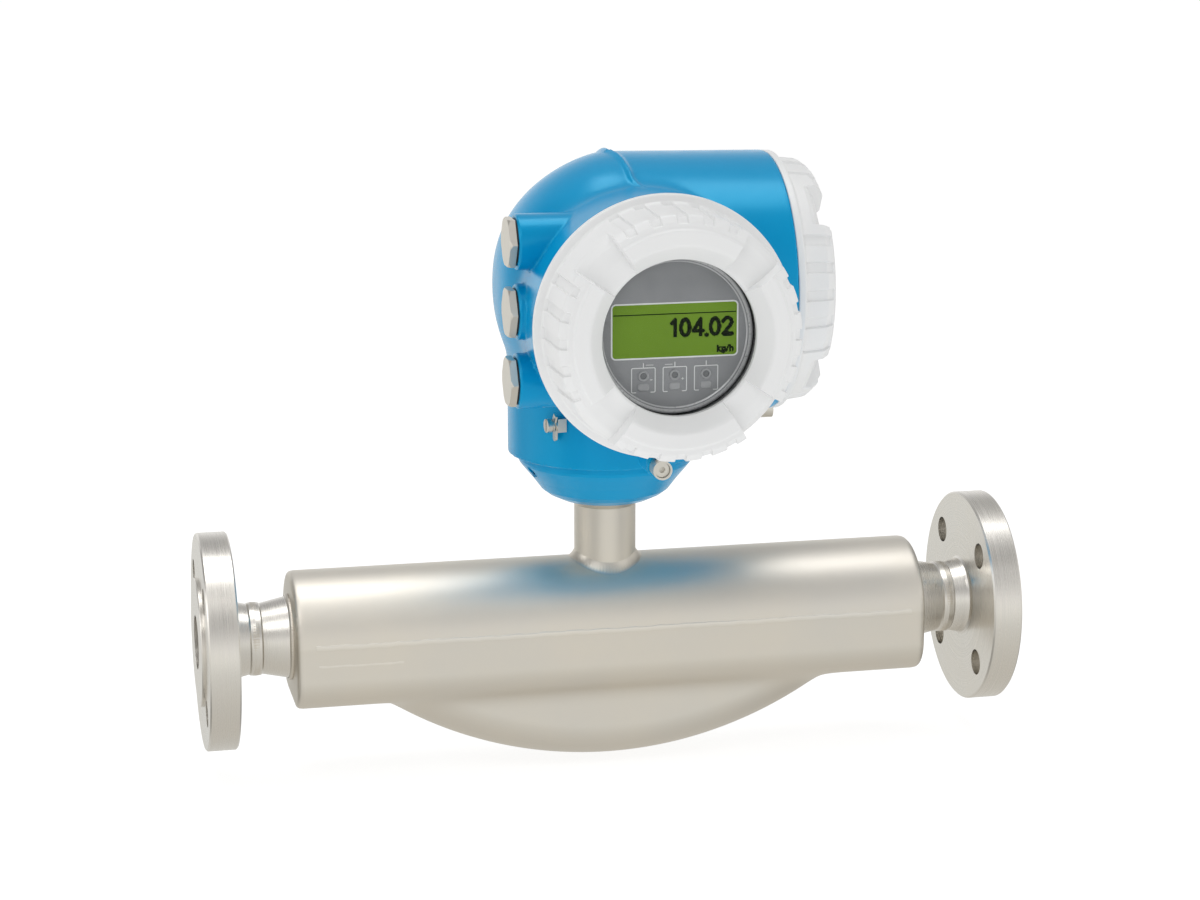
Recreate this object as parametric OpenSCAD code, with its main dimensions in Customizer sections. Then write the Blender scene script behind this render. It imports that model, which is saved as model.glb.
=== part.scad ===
// Coriolis flow meter, DN 25: twin bent tubes in a welded sensor housing between two
// weld-neck flanges, with a transmitter that turns on the neck. Millimetres, +Z up.
// The origin is the centre of the inlet flange's sealing face and +X is the flow direction.

/* [Process connections] */
// Outside diameter of the flanges
flange_od = 115; // [110:1:130]
// Thickness of a flange with its raised face
flange_t = 18; // [16:0.5:22]
// Diameter of the raised sealing face
raised_face_d = 68; // [58:1:69]
// Height of the raised sealing face
raised_face_h = 2; // [1:0.5:3]
// Pitch circle diameter of the flange bolts
bolt_pcd = 85; // [85:0.5:90]
// Number of flange bolts
bolt_count = 4; // [4:4:8]
// Diameter of the flange bolt holes
bolt_hole_d = 14; // [11:0.5:14]
// Bore of the process connection
pipe_bore_d = 28.5; // [24:0.5:30]
// Outside diameter of the weld neck at its thin end
weld_neck_d = 37.6; // [36:0.2:39]
// Length of the weld neck behind the flange
weld_neck_l = 8.5; // [6:0.5:12]
// Width of the butt weld between neck and flow splitter
butt_weld_w = 7; // [4:0.5:8]
// Length of the splitter's cone between end plate and butt weld
cone_l = 15.5; // [12:0.5:24]
// Radius of the splitter's thick end
splitter_r = 22; // [20.5:0.5:24]

/* [Sensor housing] */
// Length of the sensor housing between its end plates
shell_len = 334; // [320:1:340]
// Radius of the rounded top, and half the width
shell_r = 35; // [33:0.5:38]
// Depth of the trough below the pipe axis
shell_depth = 37.4; // [36:0.2:42]
// Radius of the trough's lower corners
shell_corner_r = 18; // [12:0.5:22]
// Wall of the sensor housing
shell_wall = 3; // [2:0.5:4]
// Height of the seam between the two shells above the pipe axis
seam_h = 2.5; // [0:0.5:5]
// Thickness of an end plate
end_plate_t = 4; // [3:0.5:6]
// Outer radius of the belly's arc
belly_r = 215; // [205:1:225]
// Depth of the belly below the pipe axis
belly_depth = 77.3; // [74:0.1:82]
// Width of the belly
belly_w = 50; // [48:0.5:54]
// Radius of the belly's rounded underside
belly_corner_r = 20; // [14:0.5:23]

/* [Flow tubes] */
// Outside diameter of a flow tube
tube_od = 14; // [12:0.5:15]
// Wall of a flow tube
tube_wall = 1; // [0.8:0.1:1.5]
// Distance between the tube centres
tube_pitch = 24; // [22:0.5:25]
// Gap between the tubes and the belly's inside
tube_belly_gap = 10; // [6:0.5:14]
// Radius of the bend where a tube leaves its splitter
entry_bend_r = 40; // [30:1:45]
// Thickness of the brace plates
brace_t = 2.5; // [1.5:0.5:4]

/* [Neck and base] */
// Outside diameter of the neck tube
neck_d = 33; // [30:0.5:36]
// Wall of the neck tube
neck_wall = 3; // [2:0.5:4]
// Height of the neck's top above the pipe axis
neck_top = 67.5; // [64:0.5:80]
// Diameter of the collar under the base
neck_collar_d = 39; // [37.5:0.5:42]
// Outside diameter of the base bowl
base_d = 93; // [92:0.5:96]
// Height of the base bowl
base_h = 25.7; // [24:0.1:30]
// Diameter of the swivel spigot
spigot_d = 76; // [70:1:80]
// Depth of the swivel spigot in the base
spigot_depth = 13; // [12:0.5:15]
// Running clearance of the swivel and the cover threads, per side
run_clear = 0.08; // [0.04:0.01:0.1]

/* [Transmitter housing] */
// Outside diameter of the housing's column
column_d = 103.6; // [100:0.2:108]
// Radius of the column's lower edge
column_edge_r = 8; // [4:0.5:10]
// Height of the cross barrel's axis above the pipe axis
barrel_h = 183.5; // [180:0.5:190]
// Distance of the cross barrel's axis behind the neck axis
barrel_back = -8; // [-10:0.5:-4]
// Radius of the cross barrel at its cover
barrel_r = 68.5; // [67:0.5:72]
// Draft of the cross barrel over its length
barrel_draft = 1.5; // [0:0.1:2.5]
// Length of the cross barrel from the neck axis to its cover
barrel_l = 84; // [83:0.5:90]
// Length of the domed end
dome_l = 60; // [56:1:66]
// Height of the bead round the barrel
bead_h = 1.7; // [1:0.1:2.5]
// Width of the bead round the barrel
bead_w = 5; // [3:0.5:7]
// Tilt of the bead about the vertical
bead_tilt = 12; // [0:1:15]
// Sideways offset of the display axis from the neck axis
display_x = 7.2; // [5:0.1:9]
// Height of the display axis above the pipe axis
display_h = 178; // [175:0.2:180]
// Distance from the neck axis to the display cover's seat
display_l = 100; // [98:0.5:104]
// Radius of the display compartment
display_r = 62.5; // [61.5:0.5:64]
// Wall of the housing round its compartments
housing_wall = 6.5; // [5:0.5:7]
// Depth of the electronics compartment behind the display cover's seat
display_pocket = 112; // [105:1:114]
// Depth of the connection compartment behind its cover's seat
connection_pocket = 15; // [12:0.5:15]

/* [Cable entries] */
// Diameter of a cable entry boss
entry_boss_d = 28.6; // [28:0.2:31]
// Thread diameter of a cable entry
entry_thread_d = 20; // [16:0.5:20]
// Distance of the bosses' faces from the neck axis
entry_x = 58.5; // [58:0.5:62]
// Distance of the entries in front of the neck axis
entry_y = 53; // [50:0.5:56]
// Height of the middle entry above the pipe axis
entry_h = 179.3; // [178:0.1:181]
// Distance between the entries
entry_pitch = 35.7; // [33:0.1:37]
// Width across flats of a blanking plug
plug_af = 24; // [22:0.5:24.5]
// Thickness of a plug's head
plug_head = 3.6; // [3:0.2:5]
// Thickness of a plug's flat seal
plug_seal_t = 1; // [0.5:0.1:1.5]

/* [Covers] */
// Radius of the display cover's rim
display_rim_r = 66.4; // [65:0.1:67]
// Height of the display cover
display_cover_h = 41; // [40:0.5:44]
// Radius of the display window
window_r = 38.6; // [36:0.2:40]
// Radius of the connection cover's rim
connection_rim_r = 68.5; // [67:0.5:72]
// Height of the connection cover
connection_cover_h = 23; // [21:0.5:26]
// Length of a cover's thread
thread_l = 11; // [10:0.5:12]
// Radial height of a cover thread's neck below the compartment's radius
neck_step = 1.7; // [1.5:0.1:2.5]
// Number of knurl pitches on a full turn
knurl_count = 28; // [24:4:32]
// Depth of the knurl's grooves
knurl_depth = 1.3; // [0.8:0.1:2]
// Angle of a finger scoop
scoop_angle = 22.6; // [16:0.2:26]
// Thickness of the window glass
glass_t = 5; // [4:0.5:6]

/* [Display] */
// Radius of the display module
module_r = 39; // [37:0.5:39.5]
// Thickness of the display module
module_t = 13; // [10:0.5:14]
// Distance of the display module's face behind the cover's front
module_recess = 16; // [15.5:0.5:18]
// Width of the display's screen
screen_w = 60; // [54:1:62]
// Height of the display's screen
screen_h = 25; // [20:1:27]
// Height of the screen's centre above the display axis
screen_up = 5.9; // [4:0.1:7]
// Distance between the optical keys
key_pitch = 15.6; // [14:0.2:17]

/* [Hidden] */
$fn = 96;

blue = [0.03, 0.52, 0.78];
white = [0.90, 0.90, 0.88];
steel = [0.72, 0.68, 0.61];
bright = [0.80, 0.79, 0.77];
dark = [0.12, 0.12, 0.13];
grey = [0.55, 0.56, 0.58];
green = [0.40, 0.55, 0.15];
copper = [0.72, 0.42, 0.22];

bore_r = pipe_bore_d / 2;
plate_x = shell_len / 2;
plate_out = plate_x + end_plate_t;
neck_x = plate_out + cone_l + butt_weld_w;
mid_x = neck_x + weld_neck_l + flange_t;
face_to_face = 2 * mid_x;
splitter_in = plate_x - 11;
socket_out = plate_x + 6;
socket_clear = 0.05;
small_gap = 0.3;

arc_h = belly_r - belly_depth;
belly_a = acos((arc_h + shell_corner_r) / belly_r);
tube_arc_r = belly_r - shell_wall - tube_belly_gap - tube_od / 2;
entry_x0 = sqrt(pow(tube_arc_r + entry_bend_r, 2) - pow(arc_h + entry_bend_r, 2));
entry_a = atan(entry_x0 / (arc_h + entry_bend_r));
tube_sides = 12;
tube_bend_steps = 5;
tube_arc_steps = 18;
brace_a = 35;
pickoff_a = 24;

display_neck_r = display_r - neck_step;
connection_neck_r = barrel_r - 8.5;
clamp_r = 4.9;
clamp_boss_l = 22;
clamp_x = display_x - 2;
clamp_z = display_h - display_rim_r - clamp_r - small_gap;
connection_clamp_a = 9;
connection_clamp_reach = connection_rim_r + clamp_r + small_gap;
clamp_hole_l = 16;

base_top = neck_top + base_h;
column_z = base_top + small_gap;
spigot_z = base_top - spigot_depth;
spigot_r = spigot_d / 2;
dome_r = barrel_r + barrel_draft;
pocket_r = display_r - housing_wall;
entry_len = 10;
display_front = display_l + display_cover_h;
module_front = display_front - module_recess;
screw_r = 3;
wire_y = -45;
wire_r = 6;
ground_z = 117;
ground_a = 230;
ground_turn = -40;
ground_y = 1.3;

coil_up = tube_od / 2 + 8;
coil_r = 7;
module_back = module_front - module_t - display_l;
carrier_t = 3;
pillar_at = pocket_r - 13;
pivot_r = 6;

display_form = [display_rim_r, display_cover_h, 17.5, 31, 63, 61.7, 53.7, window_r, 7];
connection_form = [connection_rim_r, connection_cover_h, 7.5, 15.8, 65, 63.5, 57, 44.5, 3];
groove_angle = 4.4;
seal_w = 1.3;
glass_seat_r = 43.5;
glass_z1 = display_cover_h - 9.5;

function arc_points(cx, cy, r, a0, a1, n = 6) =
    [for (i = [0:n]) let (a = a0 + (a1 - a0) * i / n) [cx + r * cos(a), cy + r * sin(a)]];

// Carries a child from the neck axis's frame to the meter's own frame
module at_meter() {
    translate([mid_x, 0, 0]) children();
}

// Turns a shape drawn round Z so that it lies round X
module along_x() {
    rotate([0, 90, 0]) children();
}

// Turns a shape drawn round Z so that its top points to -Y
module along_front() {
    rotate([90, 0, 0]) children();
}

// Places a shape drawn round Z on the display axis, its base at the cover's seat
module at_display() {
    at_meter() translate([display_x, -display_l, display_h]) along_front() children();
}

// Places a shape drawn round Z on the barrel's axis, its base at the cover's seat
module at_barrel_end() {
    at_meter() translate([barrel_l, barrel_back, barrel_h]) along_x() children();
}

module ring(r_out, r_in, h) {
    difference() {
        cylinder(r = r_out, h = h);
        translate([0, 0, -1]) cylinder(r = r_in, h = h + 2);
    }
}

module o_ring(r, wire) {
    rotate_extrude() translate([r, 0]) circle(r = wire, $fn = 24);
}

// Flange with its weld neck, from its sealing face along +X
module flange() {
    back = flange_t;
    neck_r = weld_neck_d / 2;
    edge = 0.8;
    outer = flange_od / 2;
    difference() {
        along_x() rotate_extrude() polygon([
            [bore_r, 0],
            [raised_face_d / 2 - 0.4, 0],
            [raised_face_d / 2, 0.4],
            [raised_face_d / 2, raised_face_h],
            [outer - edge, raised_face_h],
            [outer, raised_face_h + edge],
            [outer, back - edge],
            [outer - edge, back],
            [neck_r + 3, back],
            [neck_r + 1.8, back + 0.8],
            [neck_r + 1.4, back + 2.2],
            [neck_r, back + weld_neck_l],
            [bore_r, back + weld_neck_l]
        ]);
        for (i = [0:bolt_count - 1])
            rotate([360 / bolt_count * (i + 0.5), 0, 0])
                translate([-1, 0, bolt_pcd / 2]) along_x() cylinder(d = bolt_hole_d, h = flange_t + 2);
    }
}

module inlet_flange() {
    color(bright) flange();
}

module outlet_flange() {
    color(bright) translate([face_to_face, 0, 0]) mirror([1, 0, 0]) flange();
}

// Flow splitter of the +X side: butt weld, cone and tube sheet, one casting
module splitter() {
    weld_r = weld_neck_d / 2 + 0.5;
    weld_in = neck_x - butt_weld_w;
    span = tube_pitch / 2 + tube_od / 2 + 0.3;
    color(steel) difference() {
        along_x() rotate_extrude() polygon([
            [0, splitter_in],
            [splitter_r, splitter_in],
            [splitter_r, plate_out],
            [splitter_r - 3.3, weld_in],
            [weld_r, weld_in + 0.8],
            [weld_r + 0.2, neck_x - butt_weld_w / 2],
            [weld_r, neck_x - 0.8],
            [weld_neck_d / 2, neck_x],
            [bore_r, neck_x],
            [bore_r, weld_in],
            [span, socket_out],
            [0, socket_out]
        ]);
        for (side = [-1, 1])
            translate([splitter_in - 1, side * tube_pitch / 2, 0])
                along_x() cylinder(r = tube_od / 2 + socket_clear, h = socket_out - splitter_in + 2);
    }
}

module inlet_splitter() {
    at_meter() mirror([1, 0, 0]) splitter();
}

module outlet_splitter() {
    at_meter() splitter();
}

// Cross-section of the trough in Y and Z, drawn smaller by an inset, its sides up to top
module trough_section(inset, top) {
    w = shell_r - inset;
    d = shell_depth - inset;
    c = shell_corner_r - inset;
    translate([-w, c - d]) square([2 * w, d - c + top]);
    translate([c - w, -d]) square([2 * (w - c), c + 1]);
    for (side = [-1, 1]) translate([side * (w - c), c - d]) circle(r = c);
}

module housing_section(inset) {
    trough_section(inset, 0);
    intersection() {
        circle(r = shell_r - inset);
        translate([-shell_r, -0.01]) square([2 * shell_r, shell_r]);
    }
}

// Extrudes a Y-Z section along X, centred on the neck axis
module run_x(len) {
    translate([-len / 2, 0, 0]) rotate([90, 0, 90]) linear_extrude(len) children();
}

// Section of the belly in radius and width, its round underside at r_out
module belly_section(r_out, inset) {
    w = belly_w / 2 - inset;
    c = belly_corner_r - inset;
    translate([r_out - 60, -w]) square([60 - c, 2 * w]);
    translate([r_out - 60, c - w]) square([60, 2 * (w - c)]);
    for (side = [-1, 1]) translate([r_out - c, side * (w - c)]) circle(r = c);
}

// Belly of the housing, turned about an axis high above the pipe
module belly(inset) {
    translate([0, 0, arc_h]) rotate([90, 0, 0]) rotate([0, 0, 270 - belly_a])
        rotate_extrude(angle = 2 * belly_a) belly_section(belly_r - inset, inset);
}

module upper_shell() {
    color(steel) at_meter() difference() {
        union() {
            intersection() {
                run_x(shell_len) circle(r = shell_r);
                translate([-shell_len / 2, -2 * shell_r, seam_h])
                    cube([shell_len, 4 * shell_r, 2 * shell_r]);
            }
            for (side = [-1, 1])
                translate([-shell_len / 2 + 4, side * (shell_r - 0.3), seam_h + 1.12])
                    along_x() cylinder(r = 1.1, h = shell_len - 8, $fn = 24);
        }
        translate([-1, 0, 0]) run_x(shell_len + 4) circle(r = shell_r - shell_wall);
        cylinder(d = neck_d + 2 * socket_clear, h = 2 * shell_r);
    }
}

module lower_shell() {
    color(steel) at_meter() difference() {
        union() {
            run_x(shell_len) trough_section(0, seam_h);
            belly(0);
        }
        run_x(shell_len + 4) trough_section(shell_wall, 2 * shell_r);
        belly(shell_wall);
    }
}

// End plate of the +X side with a bevelled weld edge
module end_plate() {
    bevel = 2;
    color(steel) difference() {
        translate([plate_x, 0, 0]) rotate([90, 0, 90]) union() {
            linear_extrude(end_plate_t - bevel) housing_section(0);
            linear_extrude(end_plate_t) housing_section(bevel);
        }
        translate([plate_x - 1, 0, 0]) along_x()
            cylinder(r = splitter_r + socket_clear, h = end_plate_t + 2);
    }
}

module inlet_end_plate() {
    at_meter() mirror([1, 0, 0]) end_plate();
}

module outlet_end_plate() {
    at_meter() end_plate();
}

// Centre line of a flow tube as [x, z, heading]: straight ends, entry bends and the long arc
function tube_path() = let (
    bend = [for (i = [0:tube_bend_steps - 1]) let (a = entry_a * i / tube_bend_steps)
        [-entry_x0 + entry_bend_r * sin(a), entry_bend_r * (cos(a) - 1), -a]],
    arc = [for (i = [0:tube_arc_steps]) let (a = entry_a * (2 * i / tube_arc_steps - 1))
        [tube_arc_r * sin(a), arc_h - tube_arc_r * cos(a), a]],
    out = [for (i = [len(bend) - 1:-1:0]) [-bend[i][0], bend[i][1], -bend[i][2]]]
) concat([[-socket_out, 0, 0]], bend, arc, out, [[socket_out, 0, 0]]);

function tube_ring(station, r) = [for (k = [0:tube_sides - 1]) let (t = 360 * k / tube_sides)
    [station[0] - r * cos(t) * sin(station[2]), r * sin(t), station[1] + r * cos(t) * cos(station[2])]];

// One flow tube, swept with its hollow along the centre line
module flow_tube() {
    path = tube_path();
    m = len(path);
    n = tube_sides;
    r = tube_od / 2;
    outer = [for (p = path) each tube_ring(p, r)];
    inner = [for (p = path) each tube_ring(p, r - tube_wall)];
    walls = [for (i = [0:m - 2]) for (k = [0:n - 1]) let (a = i * n + k, b = i * n + (k + 1) % n)
        each [[a, b, b + n], [a, b + n, a + n],
            [a + m * n, b + n + m * n, b + m * n], [a + m * n, a + n + m * n, b + n + m * n]]];
    ends = [for (k = [0:n - 1]) let (b = (k + 1) % n, last = (m - 1) * n)
        each [[k, b + m * n, b], [k, k + m * n, b + m * n],
            [last + k, last + b, last + b + m * n], [last + k, last + b + m * n, last + k + m * n]]];
    color(bright) polyhedron(points = concat(outer, inner), faces = concat(walls, ends));
}

module front_flow_tube() {
    at_meter() translate([0, -tube_pitch / 2, 0]) flow_tube();
}

module rear_flow_tube() {
    at_meter() translate([0, tube_pitch / 2, 0]) flow_tube();
}

// Places a shape on the tubes' arc: X runs along the tube, Z towards the arc's centre
module on_arc(angle) {
    at_meter() translate([0, 0, arc_h]) rotate([0, angle, 0]) translate([0, 0, -tube_arc_r]) children();
}

module brace_plate() {
    w = tube_pitch + tube_od + 4;
    h = tube_od + 5;
    color(bright) difference() {
        translate([-brace_t / 2, -w / 2, -h / 2]) cube([brace_t, w, h]);
        for (side = [-1, 1])
            translate([-brace_t, side * tube_pitch / 2, 0])
                along_x() cylinder(r = tube_od / 2 + 0.1, h = 2 * brace_t);
    }
}

module inlet_brace_plate() {
    on_arc(brace_a) brace_plate();
}

module outlet_brace_plate() {
    on_arc(-brace_a) brace_plate();
}

// Saddle that sits on the top of a tube and holds a coil or magnet
module saddle() {
    w = 6;
    difference() {
        translate([-w / 2, tube_pitch / 2 - 4, 2]) cube([w, 8, coil_up]);
        translate([-w, tube_pitch / 2, 0]) along_x() cylinder(r = tube_od / 2 + 0.1, h = 2 * w);
    }
}

// Coil former on the rear tube, its hollow facing the front tube
module coil() {
    color(copper) {
        saddle();
        translate([0, tube_pitch / 2 - 4, coil_up]) along_front() ring(coil_r, 4.5, 9);
        translate([0, tube_pitch / 2 - 2, coil_up]) along_front() cylinder(r = coil_r, h = 2);
    }
}

// Magnet on the front tube, its pin inside the coil
module magnet() {
    color(grey) mirror([0, 1, 0]) {
        saddle();
        translate([0, tube_pitch / 2 - 4, coil_up]) along_front() cylinder(r = 3.5, h = 10);
    }
}

module drive_coil() {
    on_arc(0) coil();
}

module drive_magnet() {
    on_arc(0) magnet();
}

module inlet_pickoff_coil() {
    on_arc(pickoff_a) coil();
}

module inlet_pickoff_magnet() {
    on_arc(pickoff_a) magnet();
}

module outlet_pickoff_coil() {
    on_arc(-pickoff_a) coil();
}

module outlet_pickoff_magnet() {
    on_arc(-pickoff_a) magnet();
}

// Resistance thermometer clipped on the front tube
module temperature_sensor() {
    color(dark) on_arc(pickoff_a - 12) difference() {
        translate([-6, -tube_pitch / 2 - 3, 4]) cube([12, 6, 6]);
        translate([-12, -tube_pitch / 2, 0]) along_x() cylinder(r = tube_od / 2 + 0.1, h = 24);
    }
}

// Neck tube with its top collar and the weld round its foot
module neck_tube() {
    r = neck_d / 2;
    weld = 3.5;
    color(steel) at_meter() difference() {
        union() {
            translate([0, 0, shell_r - shell_wall]) cylinder(r = r, h = neck_top - shell_r + shell_wall);
            translate([0, 0, neck_top - 3.4])
                cylinder(r1 = r, r2 = neck_collar_d / 2, h = 3.4);
            difference() {
                intersection() {
                    cylinder(r = r + weld, h = neck_top);
                    union() {
                        run_x(60) circle(r = shell_r + 1.8);
                        intersection() {
                            run_x(60) circle(r = shell_r + weld);
                            cylinder(r = r + 1.7, h = neck_top);
                        }
                    }
                }
                run_x(80) circle(r = shell_r + 0.02);
            }
        }
        cylinder(r = r - neck_wall, h = neck_top + 1);
    }
}

// Sealed wire feedthrough in the top of the neck
module feedthrough() {
    color(dark) at_meter() {
        translate([0, 0, neck_top - 6]) cylinder(r = neck_d / 2 - neck_wall - socket_clear, h = 6);
        for (i = [0:7])
            rotate([0, 0, 45 * i]) translate([8, 0, neck_top - 1]) cylinder(r = 0.7, h = 7, $fn = 16);
    }
}

// Bowl-shaped base that holds the transmitter's spigot
module base_adapter() {
    outer = base_d / 2;
    color(blue) at_meter() difference() {
        translate([0, 0, neck_top]) rotate_extrude() polygon(concat(
            [[0, 0], [neck_collar_d / 2 + 2, 0], [neck_collar_d / 2 + 5.5, 0.7]],
            [[31, 3.6], [34.4, 6.2], [outer - 7.6, 12.2], [outer - 2.6, 18.2]],
            [[outer - 0.6, 20.8], [outer, 22.4]],
            [[outer, base_h - 0.6], [outer - 0.6, base_h], [0, base_h]]
        ));
        translate([0, 0, spigot_z]) cylinder(r = spigot_r, h = base_h);
        translate([0, 0, neck_top - 1]) cylinder(r = neck_d / 2 - neck_wall, h = base_h);
        lock_screw_axis() cylinder(r = screw_r + 0.05, h = 60);
    }
}

// Radial axis of the swivel's lock screw, outwards along Z
module lock_screw_axis() {
    translate([0, 0, spigot_z + 5.5]) rotate([0, 0, 196]) rotate([0, 90, 0]) children();
}

module swivel_lock_screw() {
    color(steel) at_meter() lock_screw_axis() difference() {
        union() {
            translate([0, 0, spigot_r + 0.3]) cylinder(r = screw_r, h = base_d / 2 - spigot_r - 4.3);
            translate([0, 0, spigot_r - 2]) cylinder(r = screw_r - 1, h = 3);
        }
        translate([0, 0, base_d / 2 - 8]) cylinder(r = 1.7, h = 6, $fn = 6);
    }
}

// Radius of the barrel's dome at a share t of its length from the bead outwards
function dome_profile(t) = dome_r * pow(1 - pow(t, 1.46), 0.4);

// Solid of the cross barrel, grown by a margin, axis along X
module barrel(grow = 0) {
    n = 14;
    along_x() rotate_extrude() polygon(concat(
        [for (i = [0:n]) let (t = pow(i / n, 1.8))
            [dome_profile(1 - t) + (i > 0 ? grow : 0), -dome_l * (1 - t) - (i == 0 ? grow : 0)]],
        [[barrel_r + grow, barrel_l], [0, barrel_l]]
    ));
}

module barrel_bead() {
    for (step = [[bead_w, 0.6 * bead_h], [0.6 * bead_w, bead_h]])
        intersection() {
            barrel(step[1]);
            rotate([0, 0, bead_tilt]) translate([1 - step[0] / 2, -100, -100]) cube([step[0], 200, 200]);
        }
}

module column() {
    r = column_d / 2;
    rotate_extrude() polygon(concat(
        [[0, column_z]],
        arc_points(r - column_edge_r, column_z + column_edge_r, column_edge_r, -90, 0),
        [[r, barrel_h], [0, barrel_h]]
    ));
}

module entry_bosses() {
    for (i = [-1:1])
        translate([-entry_x, -entry_y, entry_h + i * entry_pitch])
            along_x() cylinder(d = entry_boss_d, h = entry_x + display_x);
}

function entry_z(i) = entry_h + (2 - i) * entry_pitch;

// Boss for a cover clamp with the web that joins it to the compartment above it (towards -Y)
module clamp_boss() {
    cylinder(r = clamp_r + 1, h = clamp_boss_l);
    translate([-clamp_r - 1, -clamp_r - 6, 0]) cube([2 * clamp_r + 2, clamp_r + 6, clamp_boss_l]);
}

// Frame of the connection cover's clamp: Z points along +X, out of the barrel's end
module at_connection_clamp() {
    translate([barrel_l, barrel_back, barrel_h]) rotate([connection_clamp_a, 0, 0])
        translate([0, 0, -connection_clamp_reach]) along_x() children();
}

module housing_body() {
    column();
    translate([0, barrel_back, barrel_h]) {
        barrel();
        barrel_bead();
        translate([barrel_l - 1, 0, 0]) along_x() cylinder(r = connection_neck_r, h = thread_l + 1);
    }
    translate([display_x, barrel_back, display_h]) along_front() {
        cylinder(r = display_r, h = display_l + barrel_back);
        cylinder(r = display_neck_r, h = display_l + barrel_back + thread_l);
    }
    entry_bosses();
    translate([clamp_x, -display_l, clamp_z]) rotate([-90, 0, 0]) clamp_boss();
    at_connection_clamp() mirror([0, 0, 1]) rotate([0, 0, -90]) clamp_boss();
}

// Cast housing with its two compartments, three entries and swivel spigot
module transmitter_housing() {
    color(blue) at_meter() difference() {
        union() {
            housing_body();
            translate([0, 0, spigot_z + 0.3]) cylinder(r = spigot_r - run_clear, h = column_z - spigot_z);
        }
        translate([0, 0, spigot_z - 1]) cylinder(r = 22, h = 60);
        translate([0, 0, spigot_z + 3]) ring(spigot_r + 1, spigot_r - 2.5, 5);
        translate([0, 0, spigot_z + 10]) ring(spigot_r + 1, spigot_r - 2.2, 2.6);
        translate([display_x, display_pocket - display_l, display_h])
            along_front() cylinder(r = pocket_r, h = display_pocket + thread_l + 1);
        translate([barrel_l - connection_pocket, barrel_back, barrel_h])
            along_x() cylinder(r = connection_neck_r - housing_wall - 3, h = connection_pocket + thread_l + 1);
        for (i = [-1:1])
            translate([-entry_x - 1, -entry_y, entry_h + i * entry_pitch])
                along_x() cylinder(d = entry_thread_d, h = entry_x + 1);
        translate([display_x, wire_y, barrel_h]) along_x() cylinder(r = wire_r, h = barrel_l - display_x);
        translate([clamp_x, -display_l - 1, clamp_z]) rotate([-90, 0, 0]) cylinder(r = 2, h = clamp_hole_l);
        at_connection_clamp() translate([0, 0, 1 - clamp_hole_l]) cylinder(r = 2, h = clamp_hole_l);
    }
}

module swivel_seal() {
    color(dark) at_meter() translate([0, 0, spigot_z + 11.3]) o_ring(spigot_r - 1.15, 1);
}

// Hexagonal blanking plug with a bevelled head, its seat at the origin and head towards +Z
module plug() {
    corner_r = plug_af / sqrt(3);
    color(steel) difference() {
        union() {
            intersection() {
                rotate([0, 0, 30]) cylinder(r = corner_r, h = plug_head, $fn = 6);
                cylinder(r1 = corner_r + 2.2, r2 = plug_af / 2 + 0.6, h = plug_head);
            }
            translate([0, 0, -entry_len]) cylinder(r = entry_thread_d / 2 - 0.1, h = entry_len);
        }
        translate([0, 0, -entry_len - 1]) cylinder(r = entry_thread_d / 2 - 3, h = entry_len - 1);
    }
}

module at_entry(i) {
    at_meter() translate([-entry_x, -entry_y, entry_z(i)]) rotate([0, -90, 0]) children();
}

module blanking_plug(i) {
    at_entry(i) translate([0, 0, plug_seal_t]) plug();
}

module plug_seal(i) {
    color(dark) at_entry(i) ring(plug_af / 2, entry_thread_d / 2, plug_seal_t);
}

module blanking_plug_1() {
    blanking_plug(1);
}

module blanking_plug_2() {
    blanking_plug(2);
}

module blanking_plug_3() {
    blanking_plug(3);
}

module plug_seal_1() {
    plug_seal(1);
}

module plug_seal_2() {
    plug_seal(2);
}

module plug_seal_3() {
    plug_seal(3);
}

// Frame of the ground terminal: the screw's axis is Z, X points down
module at_ground() {
    at_meter() rotate([0, 0, ground_a]) translate([column_d / 2, 0, ground_z])
        rotate([0, 0, ground_turn]) rotate([0, 90, 0]) children();
}

// Steel block against the column's wall, with the lug plate under the screw
module ground_bracket() {
    color(steel) difference() {
        at_ground() difference() {
            union() {
                translate([-3.5, -2.4, -2.6]) cube([7, 6.8, 4.8]);
                ground_lug();
            }
            translate([0, ground_y, 0.7]) cylinder(r = 2.1, h = 8);
        }
        at_meter() cylinder(r = column_d / 2 + socket_clear, h = barrel_h);
    }
}

module ground_lug() {
    translate([0, ground_y, 2]) {
        cylinder(r = 3.2, h = 1.1);
        translate([0, -2, 0]) cube([6.4, 4, 1.1]);
        translate([6.4, 0, 0]) cylinder(r = 2, h = 1.1);
    }
    translate([0, ground_y, 2.9]) rotate([0, 0, 155]) translate([-1, -1.7, 0]) cube([7.4, 3.4, 1]);
}

module ground_screw() {
    color(steel) at_ground() translate([0, ground_y, 0]) difference() {
        union() {
            translate([0, 0, 0.8]) cylinder(r = 2, h = 4);
            translate([0, 0, 3.9]) cylinder(r = 3.3, h = 0.7);
            translate([0, 0, 4.6]) cylinder(r = 2.9, h = 0.7);
            translate([0, 0, 5.3]) cylinder(r = 3.6, h = 2.3);
        }
        translate([-5, -0.5, 6.7]) cube([10, 1, 2]);
    }
}

// Cover clamp: a cup for the screw's head with a claw beside the cover's rim
module clamp() {
    color(steel) difference() {
        cylinder(r = clamp_r, h = 9);
        translate([0, 0, 3]) cylinder(r = 3.95, h = 7);
        translate([0, 0, -1]) cylinder(r = 2.1, h = 6);
    }
}

module clamp_screw() {
    color(bright) difference() {
        union() {
            translate([0, 0, 3]) cylinder(r = 3.8, h = 4.2);
            translate([0, 0, -12]) cylinder(r = 1.9, h = 15.5);
        }
        translate([0, 0, 4.6]) cylinder(r = 1.7, h = 4, $fn = 6);
    }
}

module at_display_clamp() {
    at_meter() translate([clamp_x, -display_l, clamp_z]) along_front() children();
}

module display_clamp() {
    at_display_clamp() clamp();
}

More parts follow.
